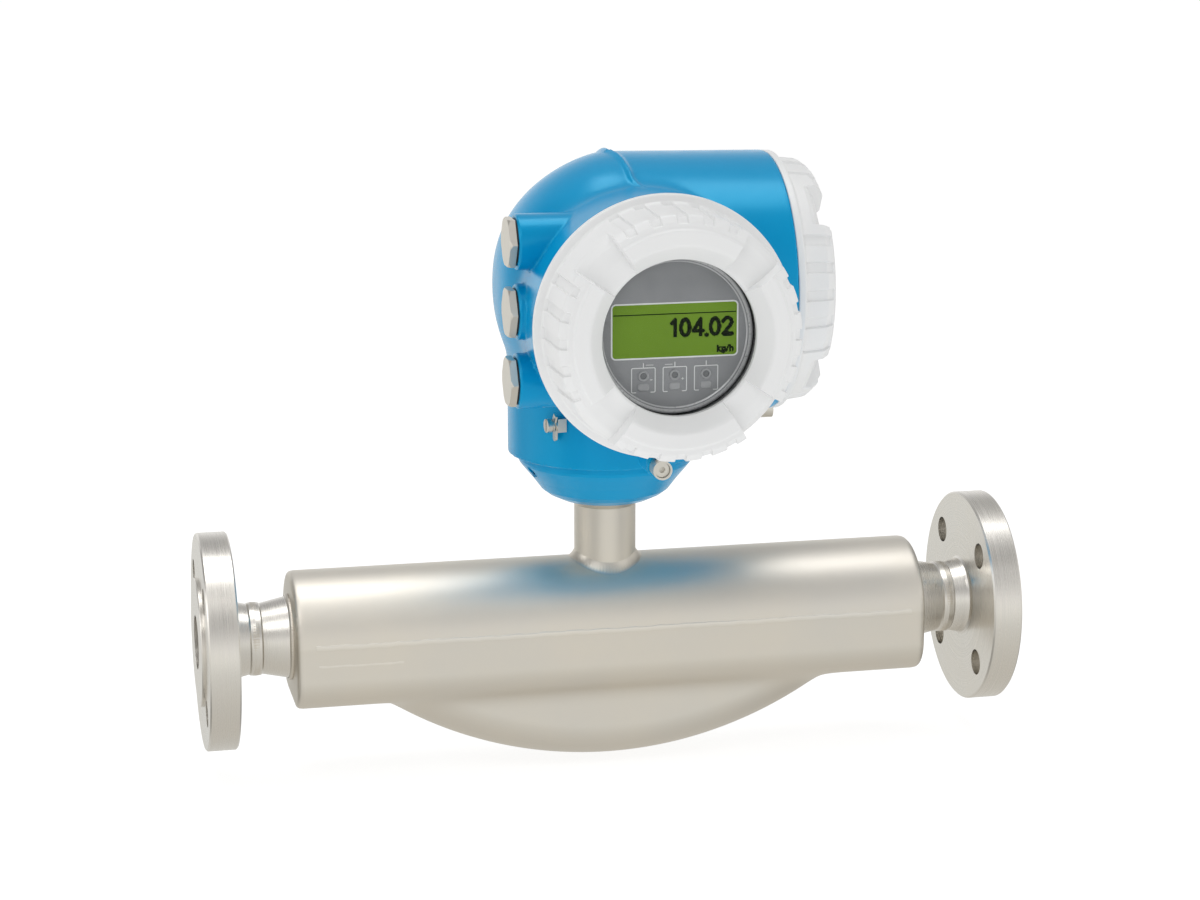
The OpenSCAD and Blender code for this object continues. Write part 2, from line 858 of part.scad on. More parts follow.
module display_clamp_screw() {
    at_display_clamp() clamp_screw();
}

module connection_clamp() {
    at_meter() at_connection_clamp() clamp();
}

module connection_clamp_screw() {
    at_meter() at_connection_clamp() clamp_screw();
}

// Potted main electronics, a stepped drum that fills the deep compartment
module electronics_module() {
    depth = display_pocket - 15;
    color(dark) at_display() translate([0, 0, -display_pocket]) difference() {
        union() {
            cylinder(r = pocket_r - 0.5, h = 34);
            cylinder(r = 32, h = depth);
            for (a = [0:90:270])
                rotate([0, 0, a + 45]) translate([pillar_at, 0, 0]) cylinder(r = 4, h = depth);
        }
        for (a = [0:90:270])
            rotate([0, 0, a + 45]) translate([pillar_at, 0, depth - 12]) cylinder(r = 1.5, h = 20);
    }
}

// Round carrier plate for the display module, on four pillars
module display_carrier() {
    z0 = -15;
    color(grey) at_display() difference() {
        union() {
            translate([0, 0, module_back - carrier_t]) cylinder(r = pocket_r - 9, h = carrier_t);
            for (a = [0:90:270]) rotate([0, 0, a + 45]) translate([pillar_at, 0, z0])
                cylinder(r = 3, h = module_back - carrier_t - z0 + 1);
        }
        for (a = [0:90:270]) rotate([0, 0, a + 45]) translate([pillar_at, 0, z0 - 1])
            cylinder(r = 1.6, h = 60);
        translate([0, 0, module_back - carrier_t - 1]) cylinder(r = pivot_r, h = 10);
    }
}

module carrier_screws() {
    color(steel) at_display() for (a = [0:90:270]) rotate([0, 0, a + 45]) translate([pillar_at, 0, 0]) {
        translate([0, 0, module_back]) cylinder(r = 2.6, h = 2);
        translate([0, 0, -22]) cylinder(r = 1.45, h = module_back + 22);
    }
}

// Stepped row of terminals on the connection compartment's floor
module terminal_block() {
    n = 8;
    p = 8;
    color(grey) at_barrel_end() translate([0, 0, -connection_pocket]) difference() {
        union() {
            translate([-10, -n * p / 2, 0]) cube([20, n * p, 10]);
            translate([-10, -n * p / 2, 0]) cube([12, n * p, 14]);
        }
        for (i = [0:n - 1]) {
            translate([-4, (i - (n - 1) / 2) * p, 8]) cylinder(r = 2.4, h = 10);
            translate([4, (i - (n - 1) / 2) * p - 2, 4]) cube([10, 4, 4]);
        }
    }
}

module terminal_screws() {
    n = 8;
    p = 8;
    color(steel) at_barrel_end() translate([0, 0, -connection_pocket])
        for (i = [0:n - 1]) translate([-4, (i - (n - 1) / 2) * p, 8]) difference() {
            cylinder(r = 2.3, h = 4);
            translate([-3, -0.4, 3]) cube([6, 0.8, 2]);
        }
}

// Round display module with a raised bezel, drawn round Z with its face at module_front
module display_module() {
    face = module_front - display_l;
    color(grey) at_display() difference() {
        union() {
            translate([0, 0, face - module_t + 0.3]) cylinder(r = module_r, h = module_t - 1.3);
            translate([0, 0, face - module_t - 2]) cylinder(r = pivot_r - 0.08, h = 3);
            translate([0, 0, face - 2]) ring(module_r, module_r - 2.4, 2);
        }
        translate([-screen_w / 2, screen_up - screen_h / 2, face - 3]) cube([screen_w, screen_h, 4]);
        for (i = [-1:1]) translate([i * key_pitch, -19, face - 2.5]) cylinder(r = 2.2, h = 3);
    }
}

module screen() {
    face = module_front - display_l;
    color(green) at_display()
        translate([0.1 - screen_w / 2, screen_up - screen_h / 2 + 0.1, face - 3])
            cube([screen_w - 0.2, screen_h - 0.2, 1.7]);
}

module optical_keys() {
    face = module_front - display_l;
    color(dark) at_display() for (i = [-1:1])
        translate([i * key_pitch, -19, face - 2.5]) cylinder(r = 2.1, h = 1.2);
}

// A cover's sizes: rim radius, height, knurl from z0 to z1 with its radius falling from r0 to
// r1, lip radius, well radius and well depth

// Outer form of a cover, drawn round Z from its rim: rim ring, smooth band, knurled band,
// shoulder, lip and a shallow well
module cover_form(f) {
    h = f[1];
    rotate_extrude() polygon(concat(
        [[0, 0], [f[0] - 0.7, 0], [f[0], 0.7], [f[0], 3.4], [f[0] - 1.2, 4.5]],
        [[f[4] + 0.9, 6.5], [f[4], f[2]]],
        arc_points(f[5] - 4, f[3], 4, 0, 50, 3),
        [[f[6] + 0.8, h - 1.2], [f[6], h - 0.2], [f[6] - 1.2, h]],
        [[46.8, h], [45.4, h - 0.6], [f[7], h - f[8]], [0, h - f[8]]]
    ));
}

// Cuts the finger scoops and the knurl's grooves out of a cover
module cover_cuts(f) {
    knurl_pitch = 360 / knurl_count;
    h = f[1];
    floor_z = h - f[8] + 0.6;
    for (q = [0:3]) {
        rotate([0, 0, 45 + 90 * q - scoop_angle / 2]) rotate_extrude(angle = scoop_angle) polygon([
            [f[7] - 1, floor_z], [50, floor_z - 1.2], [57, floor_z - 3.8],
            [70, floor_z - 9.6], [70, h + 10], [f[7] - 1, h + 10]
        ]);
        for (k = [-2:2]) rotate([0, 0, 90 * q + k * knurl_pitch - groove_angle / 2])
            rotate_extrude(angle = groove_angle) polygon([
                [f[4] - knurl_depth, f[2] + 1], [f[4] + 5, f[2] + 1], [f[4] + 5, h],
                [f[6] + 3.5, h], [f[6] + 3.5, h - 3.2], [f[5] - knurl_depth, f[3]]
            ]);
    }
}

// Bore, thread room and seal groove at the open end of a cover
module cover_mouth(neck_r) {
    translate([0, 0, -1]) cylinder(r = neck_r + run_clear, h = thread_l + 2.5);
    translate([0, 0, 1]) cylinder(r = neck_r + seal_w + 0.4, h = 2);
}

module cover_seal(neck_r) {
    color(dark) translate([0, 0, 1.2]) ring(neck_r + 0.2 + seal_w, neck_r + 0.2, 1.6);
}

module display_cover() {
    color(white) at_display() translate([0, 0, small_gap]) difference() {
        cover_form(display_form);
        cover_cuts(display_form);
        cover_mouth(display_neck_r);
        rotate_extrude() polygon([
            [0, thread_l + 1], [57, thread_l + 1], [57, 24], [54, 27.5], [47, 27.5],
            [46.4, 21], [glass_seat_r, 21], [glass_seat_r, glass_z1], [0, glass_z1]
        ]);
        translate([0, 0, glass_z1 - 1]) cylinder(r = window_r, h = 20);
    }
}

module window_glass() {
    color([0.8, 0.9, 0.95, 0.4]) at_display() translate([0, 0, glass_z1 - glass_t + small_gap])
        cylinder(r = glass_seat_r - 0.1, h = glass_t);
}

// Threaded ring that holds the glass in the cover
module glass_ring() {
    color(dark) at_display() translate([0, 0, 21.2 + small_gap])
        ring(glass_seat_r - 0.1, module_r + 1.2, glass_z1 - glass_t - 21.2);
}

module display_cover_seal() {
    at_display() translate([0, 0, small_gap]) cover_seal(display_neck_r);
}

module connection_cover() {
    color(white) at_barrel_end() translate([0, 0, small_gap]) difference() {
        cover_form(connection_form);
        cover_cuts(connection_form);
        cover_mouth(connection_neck_r);
        translate([0, 0, thread_l]) cylinder(r = 50, h = 3.5);
    }
}

module connection_cover_seal() {
    at_barrel_end() translate([0, 0, small_gap]) cover_seal(connection_neck_r);
}

inlet_flange();
outlet_flange();
inlet_splitter();
outlet_splitter();
inlet_end_plate();
outlet_end_plate();
upper_shell();
lower_shell();
front_flow_tube();
rear_flow_tube();
inlet_brace_plate();
outlet_brace_plate();
drive_coil();
drive_magnet();
inlet_pickoff_coil();
inlet_pickoff_magnet();
outlet_pickoff_coil();
outlet_pickoff_magnet();
temperature_sensor();
neck_tube();
feedthrough();
base_adapter();
swivel_lock_screw();
transmitter_housing();
swivel_seal();
blanking_plug_1();
blanking_plug_2();
blanking_plug_3();
plug_seal_1();
plug_seal_2();
plug_seal_3();
ground_bracket();
ground_screw();
display_clamp();
display_clamp_screw();
connection_clamp();
connection_clamp_screw();
electronics_module();
display_carrier();
carrier_screws();
terminal_block();
terminal_screws();
display_module();
screen();
optical_keys();
display_cover();
window_glass();
glass_ring();
display_cover_seal();
connection_cover();
connection_cover_seal();
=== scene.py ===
import math

import bmesh
import bpy
import numpy as np
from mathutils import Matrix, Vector


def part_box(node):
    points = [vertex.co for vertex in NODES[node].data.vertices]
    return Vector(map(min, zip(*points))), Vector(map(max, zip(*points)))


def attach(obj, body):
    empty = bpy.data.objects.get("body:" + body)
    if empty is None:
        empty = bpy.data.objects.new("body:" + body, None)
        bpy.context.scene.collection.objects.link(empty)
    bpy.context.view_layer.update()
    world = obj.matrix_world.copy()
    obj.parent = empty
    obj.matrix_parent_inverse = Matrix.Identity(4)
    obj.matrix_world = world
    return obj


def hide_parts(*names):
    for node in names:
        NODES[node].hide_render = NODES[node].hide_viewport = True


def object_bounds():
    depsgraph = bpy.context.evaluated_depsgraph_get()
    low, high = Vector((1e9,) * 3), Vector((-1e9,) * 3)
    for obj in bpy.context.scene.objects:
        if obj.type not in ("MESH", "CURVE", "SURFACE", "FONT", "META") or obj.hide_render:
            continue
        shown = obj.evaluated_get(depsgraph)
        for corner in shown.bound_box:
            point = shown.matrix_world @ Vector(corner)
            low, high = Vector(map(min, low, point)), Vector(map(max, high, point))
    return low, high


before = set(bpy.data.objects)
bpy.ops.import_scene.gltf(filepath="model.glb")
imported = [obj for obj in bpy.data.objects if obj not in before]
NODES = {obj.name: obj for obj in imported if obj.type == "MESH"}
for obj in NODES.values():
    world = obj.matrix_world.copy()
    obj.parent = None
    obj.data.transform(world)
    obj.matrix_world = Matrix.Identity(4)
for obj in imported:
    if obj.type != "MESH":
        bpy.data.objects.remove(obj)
cad_box = [[float(c) for c in v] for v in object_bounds()]
MM = 1000.0  # millimetres in a metre


def nbox(name):
    """Lowest and highest corner of a CAD node, in millimetres of the frame."""
    lo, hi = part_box(name)
    return np.array(lo) * MM, np.array(hi) * MM


# ---------------------------------------------------------------- key places, in millimetres
# X is counted from the middle between the flanges, Y and Z as in the frame.
MX = (nbox("inlet_flange")[0][0] + nbox("outlet_flange")[1][0]) / 2
dc_lo, dc_hi = nbox("display_cover")
DX, DZ = (dc_lo[0] + dc_hi[0]) / 2 - MX, (dc_lo[2] + dc_hi[2]) / 2  # axis of the display, along Y
DSEAT, DFRONT = dc_hi[1], dc_lo[1]
cc_lo, cc_hi = nbox("connection_cover")
BY, BZ = (cc_lo[1] + cc_hi[1]) / 2, (cc_lo[2] + cc_hi[2]) / 2  # axis of the barrel, along X
CSEAT, CFRONT = cc_lo[0] - MX, cc_hi[0] - MX
SHELL_X = nbox("upper_shell")[1][0] - MX
BASE_TOP = nbox("base_adapter")[1][2]


# ---------------------------------------------------------------- materials
class Graph:
    """A small helper that wires shader nodes of one material."""

    def __init__(self, name):
        self.mat = bpy.data.materials.new(name)
        self.mat.use_nodes = True
        self.tree = self.mat.node_tree
        self.tree.nodes.clear()
        self.out = self.add("ShaderNodeOutputMaterial")
        self.bsdf = self.add("ShaderNodeBsdfPrincipled")
        self.link(self.bsdf.outputs[0], self.out.inputs[0])
        self.coord = self.add("ShaderNodeTexCoord").outputs["Object"]

    def add(self, kind, **props):
        node = self.tree.nodes.new(kind)
        for key, value in props.items():
            setattr(node, key, value)
        return node

    def link(self, a, b):
        self.tree.links.new(a, b)

    def set(self, **values):
        for key, value in values.items():
            self.bsdf.inputs[key.replace("_", " ")].default_value = value

    def math(self, op, a, b=None):
        node = self.add("ShaderNodeMath", operation=op)
        for i, v in enumerate((a, b)):
            if v is None:
                continue
            if isinstance(v, (int, float)):
                node.inputs[i].default_value = v
            else:
                self.link(v, node.inputs[i])
        return node.outputs[0]

    def scaled(self, sx, sy, sz, vector=None):
        node = self.add("ShaderNodeVectorMath", operation="MULTIPLY")
        self.link(vector or self.coord, node.inputs[0])
        node.inputs[1].default_value = (sx, sy, sz)
        return node.outputs[0]

    def noise(self, scale, detail=4.0, rough=0.55, vector=None):
        node = self.add("ShaderNodeTexNoise")
        node.inputs["Scale"].default_value = scale
        node.inputs["Detail"].default_value = detail
        node.inputs["Roughness"].default_value = rough
        self.link(vector or self.coord, node.inputs["Vector"])
        return node.outputs["Fac"]

    def span(self, value, lo, hi, lo_in=0.3, hi_in=0.7):
        node = self.add("ShaderNodeMapRange")
        node.inputs["From Min"].default_value = lo_in
        node.inputs["From Max"].default_value = hi_in
        node.inputs["To Min"].default_value = lo
        node.inputs["To Max"].default_value = hi
        self.link(value, node.inputs["Value"])
        return node.outputs["Result"]

    def mix(self, fac, a, b):
        node = self.add("ShaderNodeMix", data_type="RGBA")
        if isinstance(fac, (int, float)):
            node.inputs[0].default_value = fac
        else:
            self.link(fac, node.inputs[0])
        for i, v in ((6, a), (7, b)):
            if isinstance(v, (tuple, list)):
                node.inputs[i].default_value = (*v[:3], 1.0)
            else:
                self.link(v, node.inputs[i])
        return node.outputs[2]

    def bump(self, height, strength, distance, normal=None):
        node = self.add("ShaderNodeBump")
        node.inputs["Strength"].default_value = strength
        node.inputs["Distance"].default_value = distance
        self.link(height, node.inputs["Height"])
        if normal is not None:
            self.link(normal, node.inputs["Normal"])
        return node.outputs[0]

    def colour(self, socket):
        self.link(socket, self.bsdf.inputs["Base Color"])

    def rough(self, socket):
        self.link(socket, self.bsdf.inputs["Roughness"])

    def normal(self, socket):
        self.link(socket, self.bsdf.inputs["Normal"])


def shade(rgb, k):
    """A colour made darker or lighter."""
    return tuple(c * k for c in rgb)


def coat_paint(name, rgb, low, high, peel=0.00003, gloss=0.5, tint=(1.0, 1.0, 1.0)):
    """Powder coat: faint orange peel and slow changes of tone."""
    g = Graph(name)
    slow = g.noise(9.0, 2.0)
    g.colour(g.mix(g.span(slow, 0.0, 1.0), shade(rgb, 0.97), shade(rgb, 1.03)))
    g.rough(g.span(g.noise(160.0, 3.0), low, high))
    g.normal(g.bump(g.noise(420.0, 2.0, 0.4), 0.35, peel))
    g.set(Specular_IOR_Level=gloss, Specular_Tint=(*tint, 1.0))
    return g.mat


def steel(name, rgb, low, high, kind, strength=0.4, blotch=0.06):
    """Stainless steel. kind is blasted, turned (rings round X) or drawn (lines along X)."""
    g = Graph(name)
    g.set(Metallic=1.0)
    slow = g.noise(14.0, 5.0, 0.6)
    fine = g.noise(3200.0, 2.0, 0.5)
    if kind == "turned":
        sep = g.add("ShaderNodeSeparateXYZ")
        g.link(g.coord, sep.inputs[0])
        r2 = g.math("ADD", g.math("POWER", sep.outputs[1], 2.0), g.math("POWER", sep.outputs[2], 2.0))
        comb = g.add("ShaderNodeCombineXYZ")
        g.link(sep.outputs[0], comb.inputs[0])
        g.link(g.math("SQRT", r2), comb.inputs[1])
        fine = g.noise(2600.0, 3.0, 0.6, comb.outputs[0])
    elif kind == "drawn":
        fine = g.noise(1.0, 4.0, 0.6, g.scaled(60.0, 2600.0, 2600.0))
    warm = (rgb[0] * 1.02, rgb[1], rgb[2] * 0.965)
    base = g.mix(g.span(slow, 0.0, 1.0), shade(rgb, 1 - blotch), warm)
    g.colour(g.mix(g.span(fine, 0.0, 0.25), base, shade(rgb, 1.06)))
    g.rough(g.math("ADD", g.span(fine, low, high), g.span(slow, -0.025, 0.025)))
    g.normal(g.bump(fine, strength, 0.00002))
    return g.mat


def plain(name, rgb, low, high, metallic=0.0, scale=900.0, strength=0.3, gloss=0.5):
    """Plastic, rubber or print: an even tone with a fine grain."""
    g = Graph(name)
    g.set(Metallic=metallic, Specular_IOR_Level=gloss)
    g.colour(g.mix(g.span(g.noise(60.0), 0.0, 1.0), shade(rgb, 0.92), shade(rgb, 1.05)))
    g.rough(g.span(g.noise(scale, 3.0), low, high))
    g.normal(g.bump(g.noise(scale * 2, 2.0), strength, 0.00002))
    return g.mat


M = {
    "blue": coat_paint("blue_coat", (0.0, 0.29, 0.575), 0.20, 0.27, 0.00002, 1.0, (0.15, 0.75, 1.0)),
    # darker blue: paint of the threaded necks, and painted shade on the swivel lock screw, which stands for
    # the dark hole it sits in
    "neck": coat_paint("neck_paint_and_painted_hole_shade", (0.0, 0.18, 0.38), 0.35, 0.45, 0.00002, 0.4, (0.2, 0.72, 1.0)),
    "white": coat_paint("white_coat", (0.80, 0.805, 0.805), 0.30, 0.40, 0.00005),
    "blasted": steel("blasted_steel", (0.80, 0.765, 0.70), 0.40, 0.52, "blasted", 0.35),
    "flange": steel("turned_steel", (0.76, 0.74, 0.70), 0.22, 0.34, "turned", 0.5, 0.03),
    "tube": steel("drawn_steel", (0.62, 0.605, 0.58), 0.22, 0.34, "drawn", 0.4, 0.04),
    "seam": steel("seam_steel", (0.86, 0.83, 0.77), 0.42, 0.52, "blasted", 0.5, 0.05),
    "weld": steel("weld_steel", (0.72, 0.68, 0.61), 0.30, 0.42, "blasted", 0.5, 0.12),
    "screw": steel("screw_steel", (0.74, 0.72, 0.67), 0.28, 0.40, "blasted", 0.3, 0.04),
    "plug": steel("plug_steel", (0.76, 0.73, 0.67), 0.30, 0.44, "blasted", 0.5, 0.05),
    "magnet": steel("nickel", (0.50, 0.50, 0.51), 0.3, 0.4, "blasted", 0.3, 0.03),
    "copper": steel("copper_wire", (0.80, 0.40, 0.20), 0.3, 0.42, "blasted", 0.5, 0.10),
    "rubber": plain("black_rubber", (0.018, 0.018, 0.019), 0.55, 0.75),
    "black": plain("black_plastic", (0.022, 0.023, 0.025), 0.42, 0.55),
    "grey": plain("grey_plastic", (0.20, 0.215, 0.225), 0.34, 0.46),
    "panel": plain("panel_film", (0.29, 0.30, 0.31), 0.36, 0.46, gloss=0.25),
    "carrier": plain("grey_carrier", (0.11, 0.115, 0.12), 0.45, 0.6),
    "ring": plain("window_ring", (0.26, 0.265, 0.27), 0.22, 0.34, gloss=0.6),
    "pad": plain("key_pad", (0.36, 0.37, 0.38), 0.34, 0.44, gloss=0.35),
    "bezel": plain("bezel_grey", (0.58, 0.59, 0.60), 0.25, 0.38, metallic=0.3),
    "print": plain("white_print", (0.78, 0.80, 0.80), 0.4, 0.5, gloss=0.2),
    "ink": plain("lcd_ink", (0.004, 0.007, 0.003), 0.5, 0.6, gloss=0.1),
    "lens": plain("key_lens", (0.16, 0.17, 0.175), 0.15, 0.25),
}


def lcd_material():
    """Green liquid crystal pane with a faint grid of cells and a little light of its own."""
    g = Graph("lcd_green")
    base = (0.135, 0.245, 0.022)
    grid = g.add("ShaderNodeTexChecker")
    grid.inputs["Scale"].default_value = 2170.0
    g.link(g.coord, grid.inputs["Vector"])
    slow = g.span(g.noise(22.0, 2.0), 0.0, 1.0)
    g.colour(g.mix(slow, shade(base, 0.93), shade(base, 1.07)))
    g.rough(g.span(grid.outputs["Fac"], 0.24, 0.28, 0.0, 1.0))
    g.link(g.mix(slow, shade(base, 0.95), shade(base, 1.05)), g.bsdf.inputs["Emission Color"])
    g.set(Emission_Strength=0.16, Specular_IOR_Level=0.12)
    return g.mat


def glass_material():
    """Clear window: only its reflections show."""
    g = Graph("window_glass")
    g.set(IOR=1.45, Alpha=0.04, Specular_IOR_Level=0.3)
    g.colour(g.mix(g.span(g.noise(6.0, 1.0), 0.0, 1.0), (0.02, 0.025, 0.025), (0.03, 0.035, 0.035)))
    g.rough(g.span(g.noise(30.0, 2.0), 0.03, 0.06))
    return g.mat


M["lcd"] = lcd_material()
M["glass"] = glass_material()

LOOKS = {
    "flange": "inlet_flange outlet_flange inlet_splitter outlet_splitter",
    "blasted": "inlet_end_plate outlet_end_plate upper_shell lower_shell neck_tube",
    "tube": "front_flow_tube rear_flow_tube inlet_brace_plate outlet_brace_plate",
    "copper": "drive_coil inlet_pickoff_coil outlet_pickoff_coil",
    "magnet": "drive_magnet inlet_pickoff_magnet outlet_pickoff_magnet",
    "blue": "base_adapter transmitter_housing",
    # the swivel lock screw takes the darker blue as painted shade of its hole
    "neck": "swivel_lock_screw",
    "plug": "blanking_plug_1 blanking_plug_2 blanking_plug_3",
    "screw": "ground_bracket ground_screw display_clamp display_clamp_screw connection_clamp"
             " connection_clamp_screw carrier_screws terminal_screws",
    "rubber": "swivel_seal plug_seal_1 plug_seal_2 plug_seal_3 display_cover_seal connection_cover_seal",
    "black": "temperature_sensor feedthrough electronics_module",
    "carrier": "display_carrier",
    "grey": "terminal_block",
    "panel": "display_module",
    "lcd": "screen",
    "lens": "optical_keys",
    "white": "display_cover connection_cover",
    "glass": "window_glass",
    "ring": "glass_ring",
}
LOOK_OF = {node: look for look, nodes in LOOKS.items() for node in nodes.split()}
for node_name, obj in NODES.items():
    obj.data.materials.clear()
    obj.data.materials.append(M[LOOK_OF[node_name]])


# ---------------------------------------------------------------- mesh helpers
def new_mesh(name, verts, faces, mat, body, normals=None, smooth=True):
    """A piece from vertices in millimetres of the frame, which rides on a body."""
    me = bpy.data.meshes.new(name)
    points = (np.asarray(verts, float) / MM).tolist()
    me.from_pydata(points, [], [tuple(int(i) for i in f) for f in faces])
    me.validate(clean_customdata=False)
    ob = bpy.data.objects.new(name, me)
    bpy.context.scene.collection.objects.link(ob)
    me.materials.append(mat)
    me.polygons.foreach_set("use_smooth", [smooth] * len(me.polygons))
    if normals is not None:
        me.normals_split_custom_set_from_vertices([tuple(n) for n in normals])
    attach(ob, body)
    return ob


def smin(a, b, k):
    """Union of two fields with a fillet of about k."""
    h = np.maximum(k - np.abs(a - b), 0.0) / k
    return np.minimum(a, b) - h * h * h * k / 6.0


def smax(a, b, k):
    """Intersection of two fields with a rounding of about k."""
    return -smin(-a, -b, k)


def surface_net(field, lo, hi, step):
    """Quads on the zero level of field(p), then moved onto it exactly. Returns verts, quads, normals."""
    axes = [np.arange(lo[i], hi[i] + step, step, dtype=np.float64) for i in range(3)]
    nx, ny, nz = (len(a) for a in axes)
    grid = np.empty((nx, ny, nz))
    yy, zz = np.meshgrid(axes[1], axes[2], indexing="ij")
    for i in range(0, nx, 8):
        xs = axes[0][i:i + 8]
        p = np.empty((len(xs), ny, nz, 3))
        p[..., 0] = xs[:, None, None]
        p[..., 1] = yy
        p[..., 2] = zz
        grid[i:i + 8] = field(p)
    inside = grid < 0
    corners = [(a, b, c) for a in (0, 1) for b in (0, 1) for c in (0, 1)]
    count = np.zeros((nx - 1, ny - 1, nz - 1), np.int8)
    for a, b, c in corners:
        count += inside[a:nx - 1 + a, b:ny - 1 + b, c:nz - 1 + c]
    active = (count > 0) & (count < 8)
    ids = np.full(active.shape, -1, np.int64)
    cells = np.argwhere(active)
    ids[active] = np.arange(len(cells))
    total = np.zeros((len(cells), 3))
    hits = np.zeros(len(cells))
    for u in corners:
        for d in range(3):
            if u[d]:
                continue
            v = list(u)
            v[d] = 1
            fa = grid[cells[:, 0] + u[0], cells[:, 1] + u[1], cells[:, 2] + u[2]]
            fb = grid[cells[:, 0] + v[0], cells[:, 1] + v[1], cells[:, 2] + v[2]]
            cross = (fa < 0) != (fb < 0)
            t = np.where(cross, fa / np.where(cross, fa - fb, 1.0), 0.0)
            at = np.repeat(np.array([u], float), len(cells), 0)
            at[:, d] = t
            total += at * cross[:, None]
            hits += cross
    origin = np.array([a[0] for a in axes])
    verts = origin + (cells + total / hits[:, None]) * step
    quads = []
    for d in range(3):
        e, f = [i for i in range(3) if i != d]
        sl_a = [slice(1, -1)] * 3
        sl_b = [slice(1, -1)] * 3
        sl_a[d] = slice(0, -1)
        sl_b[d] = slice(1, None)
        ga, gb = inside[tuple(sl_a)], inside[tuple(sl_b)]
        found = np.argwhere(ga != gb)
        if not len(found):
            continue
        flip = gb[tuple(found.T)]
        base = found.copy()
        base[:, e] += 1
        base[:, f] += 1
        quad = []
        for de, df in ((-1, -1), (0, -1), (0, 0), (-1, 0)):
            c = base.copy()
            c[:, e] += de
            c[:, f] += df
            quad.append(ids[tuple(c.T)])
        quad = np.stack(quad, 1)
        if d == 1:
            flip = ~flip
        quad[flip] = quad[flip][:, ::-1]
        quads.append(quad)
    quads = np.concatenate(quads)
    eps = 0.05

    def gradient(p):
        g = np.empty_like(p)
        for i in range(3):
            q = p.copy()
            q[:, i] += eps
            up = field(q)
            q[:, i] -= 2 * eps
            g[:, i] = (up - field(q)) / (2 * eps)
        return g

    for _ in range(5):
        g = gradient(verts)
        size = np.maximum((g * g).sum(1), 0.05)
        move = -field(verts)[:, None] * g / size[:, None]
        length = np.linalg.norm(move, axis=1, keepdims=True)
        verts += move * np.minimum(1.0, step / np.maximum(length, 1e-9))
    g = gradient(verts)
    normals = g / np.maximum(np.linalg.norm(g, axis=1, keepdims=True), 1e-9)
    return verts, quads, normals


def round_corners(points, radii, n=4):
    """Polyline with its corners rounded by arcs; radii has one entry for each point."""
    pts = [np.array(p, float) for p in points]
    out = [pts[0]]
    for i in range(1, len(pts) - 1):
        a, b, c = pts[i - 1], pts[i], pts[i + 1]
        r = radii[i]
        u, v = a - b, c - b
        lu, lv = np.linalg.norm(u), np.linalg.norm(v)
        u, v = u / lu, v / lv
        angle = math.acos(max(-1, min(1, float(u @ v))))
        if r <= 0 or angle > math.pi - 0.02 or angle < 0.02:
            out.append(b)
            continue
        reach = min(r / math.tan(angle / 2), 0.49 * lu, 0.49 * lv)
        r = reach * math.tan(angle / 2)
        p0, p1 = b + u * reach, b + v * reach
        centre = b + (u + v) / np.linalg.norm(u + v) * (r / math.sin(angle / 2))
        a0, a1 = math.atan2(*(p0 - centre)[::-1]), math.atan2(*(p1 - centre)[::-1])
        d = (a1 - a0 + math.pi) % (2 * math.pi) - math.pi
        for k in range(n + 1):
            t = a0 + d * k / n
            out.append(centre + r * np.array([math.cos(t), math.sin(t)]))
    out.append(pts[-1])
    return np.array(out)


def resample(line, n):
    """The same line with n points at even distances."""
    line = np.asarray(line, float)
    seg = np.linalg.norm(np.diff(line, axis=0), axis=1)
    s = np.concatenate([[0], np.cumsum(seg)])
    t = np.linspace(0, s[-1], n)
    return np.stack([np.interp(t, s, line[:, 0]), np.interp(t, s, line[:, 1])], 1)


def loft_faces(rows, cols, closed_cols=True, closed_rows=False):
    """Quads of a grid of vertices, stored row by row."""
    faces = []
    for i in range(rows if closed_rows else rows - 1):
        i2 = (i + 1) % rows
        for j in range(cols if closed_cols else cols - 1):
            j2 = (j + 1) % cols
            faces.append((i * cols + j, i * cols + j2, i2 * cols + j2, i2 * cols + j))
    return faces


def spin(grid, a):
    """Points of a grid of (radius, height) pairs with one column for each angle of a."""
    return np.stack([grid[..., 0] * np.cos(a), grid[..., 0] * np.sin(a), grid[..., 1]], -1).reshape(-1, 3)


def edge_smooth(ob, angle=35.0):
    """Faces turned outwards, and edges sharper than the angle left sharp."""
    bm = bmesh.new()
    bm.from_mesh(ob.data)
    bmesh.ops.recalc_face_normals(bm, faces=bm.faces)
    for e in bm.edges:
        if len(e.link_faces) == 2:
            e.smooth = e.calc_face_angle(0.0) < math.radians(angle)
    bm.to_mesh(ob.data)
    bm.free()


def lathe(name, profile, place, mat, body, count=128, closed=False):
    """Revolves (radius, height) points; place maps local points to the frame in millimetres."""
    rows = np.repeat(np.asarray(profile, float)[:, None, :], count, 1)
    points = spin(rows, np.linspace(0, 2 * np.pi, count, endpoint=False))
    ob = new_mesh(name, place(points), loft_faces(len(rows), count, True, closed), mat, body)
    edge_smooth(ob)
    return ob


def shift(v):
    """Points with X counted from the middle between the flanges, moved to the frame."""
    v = np.asarray(v, float).copy()
    v[:, 0] += MX
    return v


# ---------------------------------------------------------------- transmitter housing, smooth casting
def corner_field(a, b, r):
    """Distance to a corner rounded by r, where a and b count outwards from the middle of the arc."""
    return np.minimum(np.maximum(a, b), 0) + np.hypot(np.maximum(a, 0), np.maximum(b, 0)) - r


def cyl_field(rho, along, r, lo, hi, edge):
    """Distance to a cylinder with rounded ends."""
    return corner_field(rho - (r - edge), np.abs(along - (lo + hi) / 2) - ((hi - lo) / 2 - edge), edge)


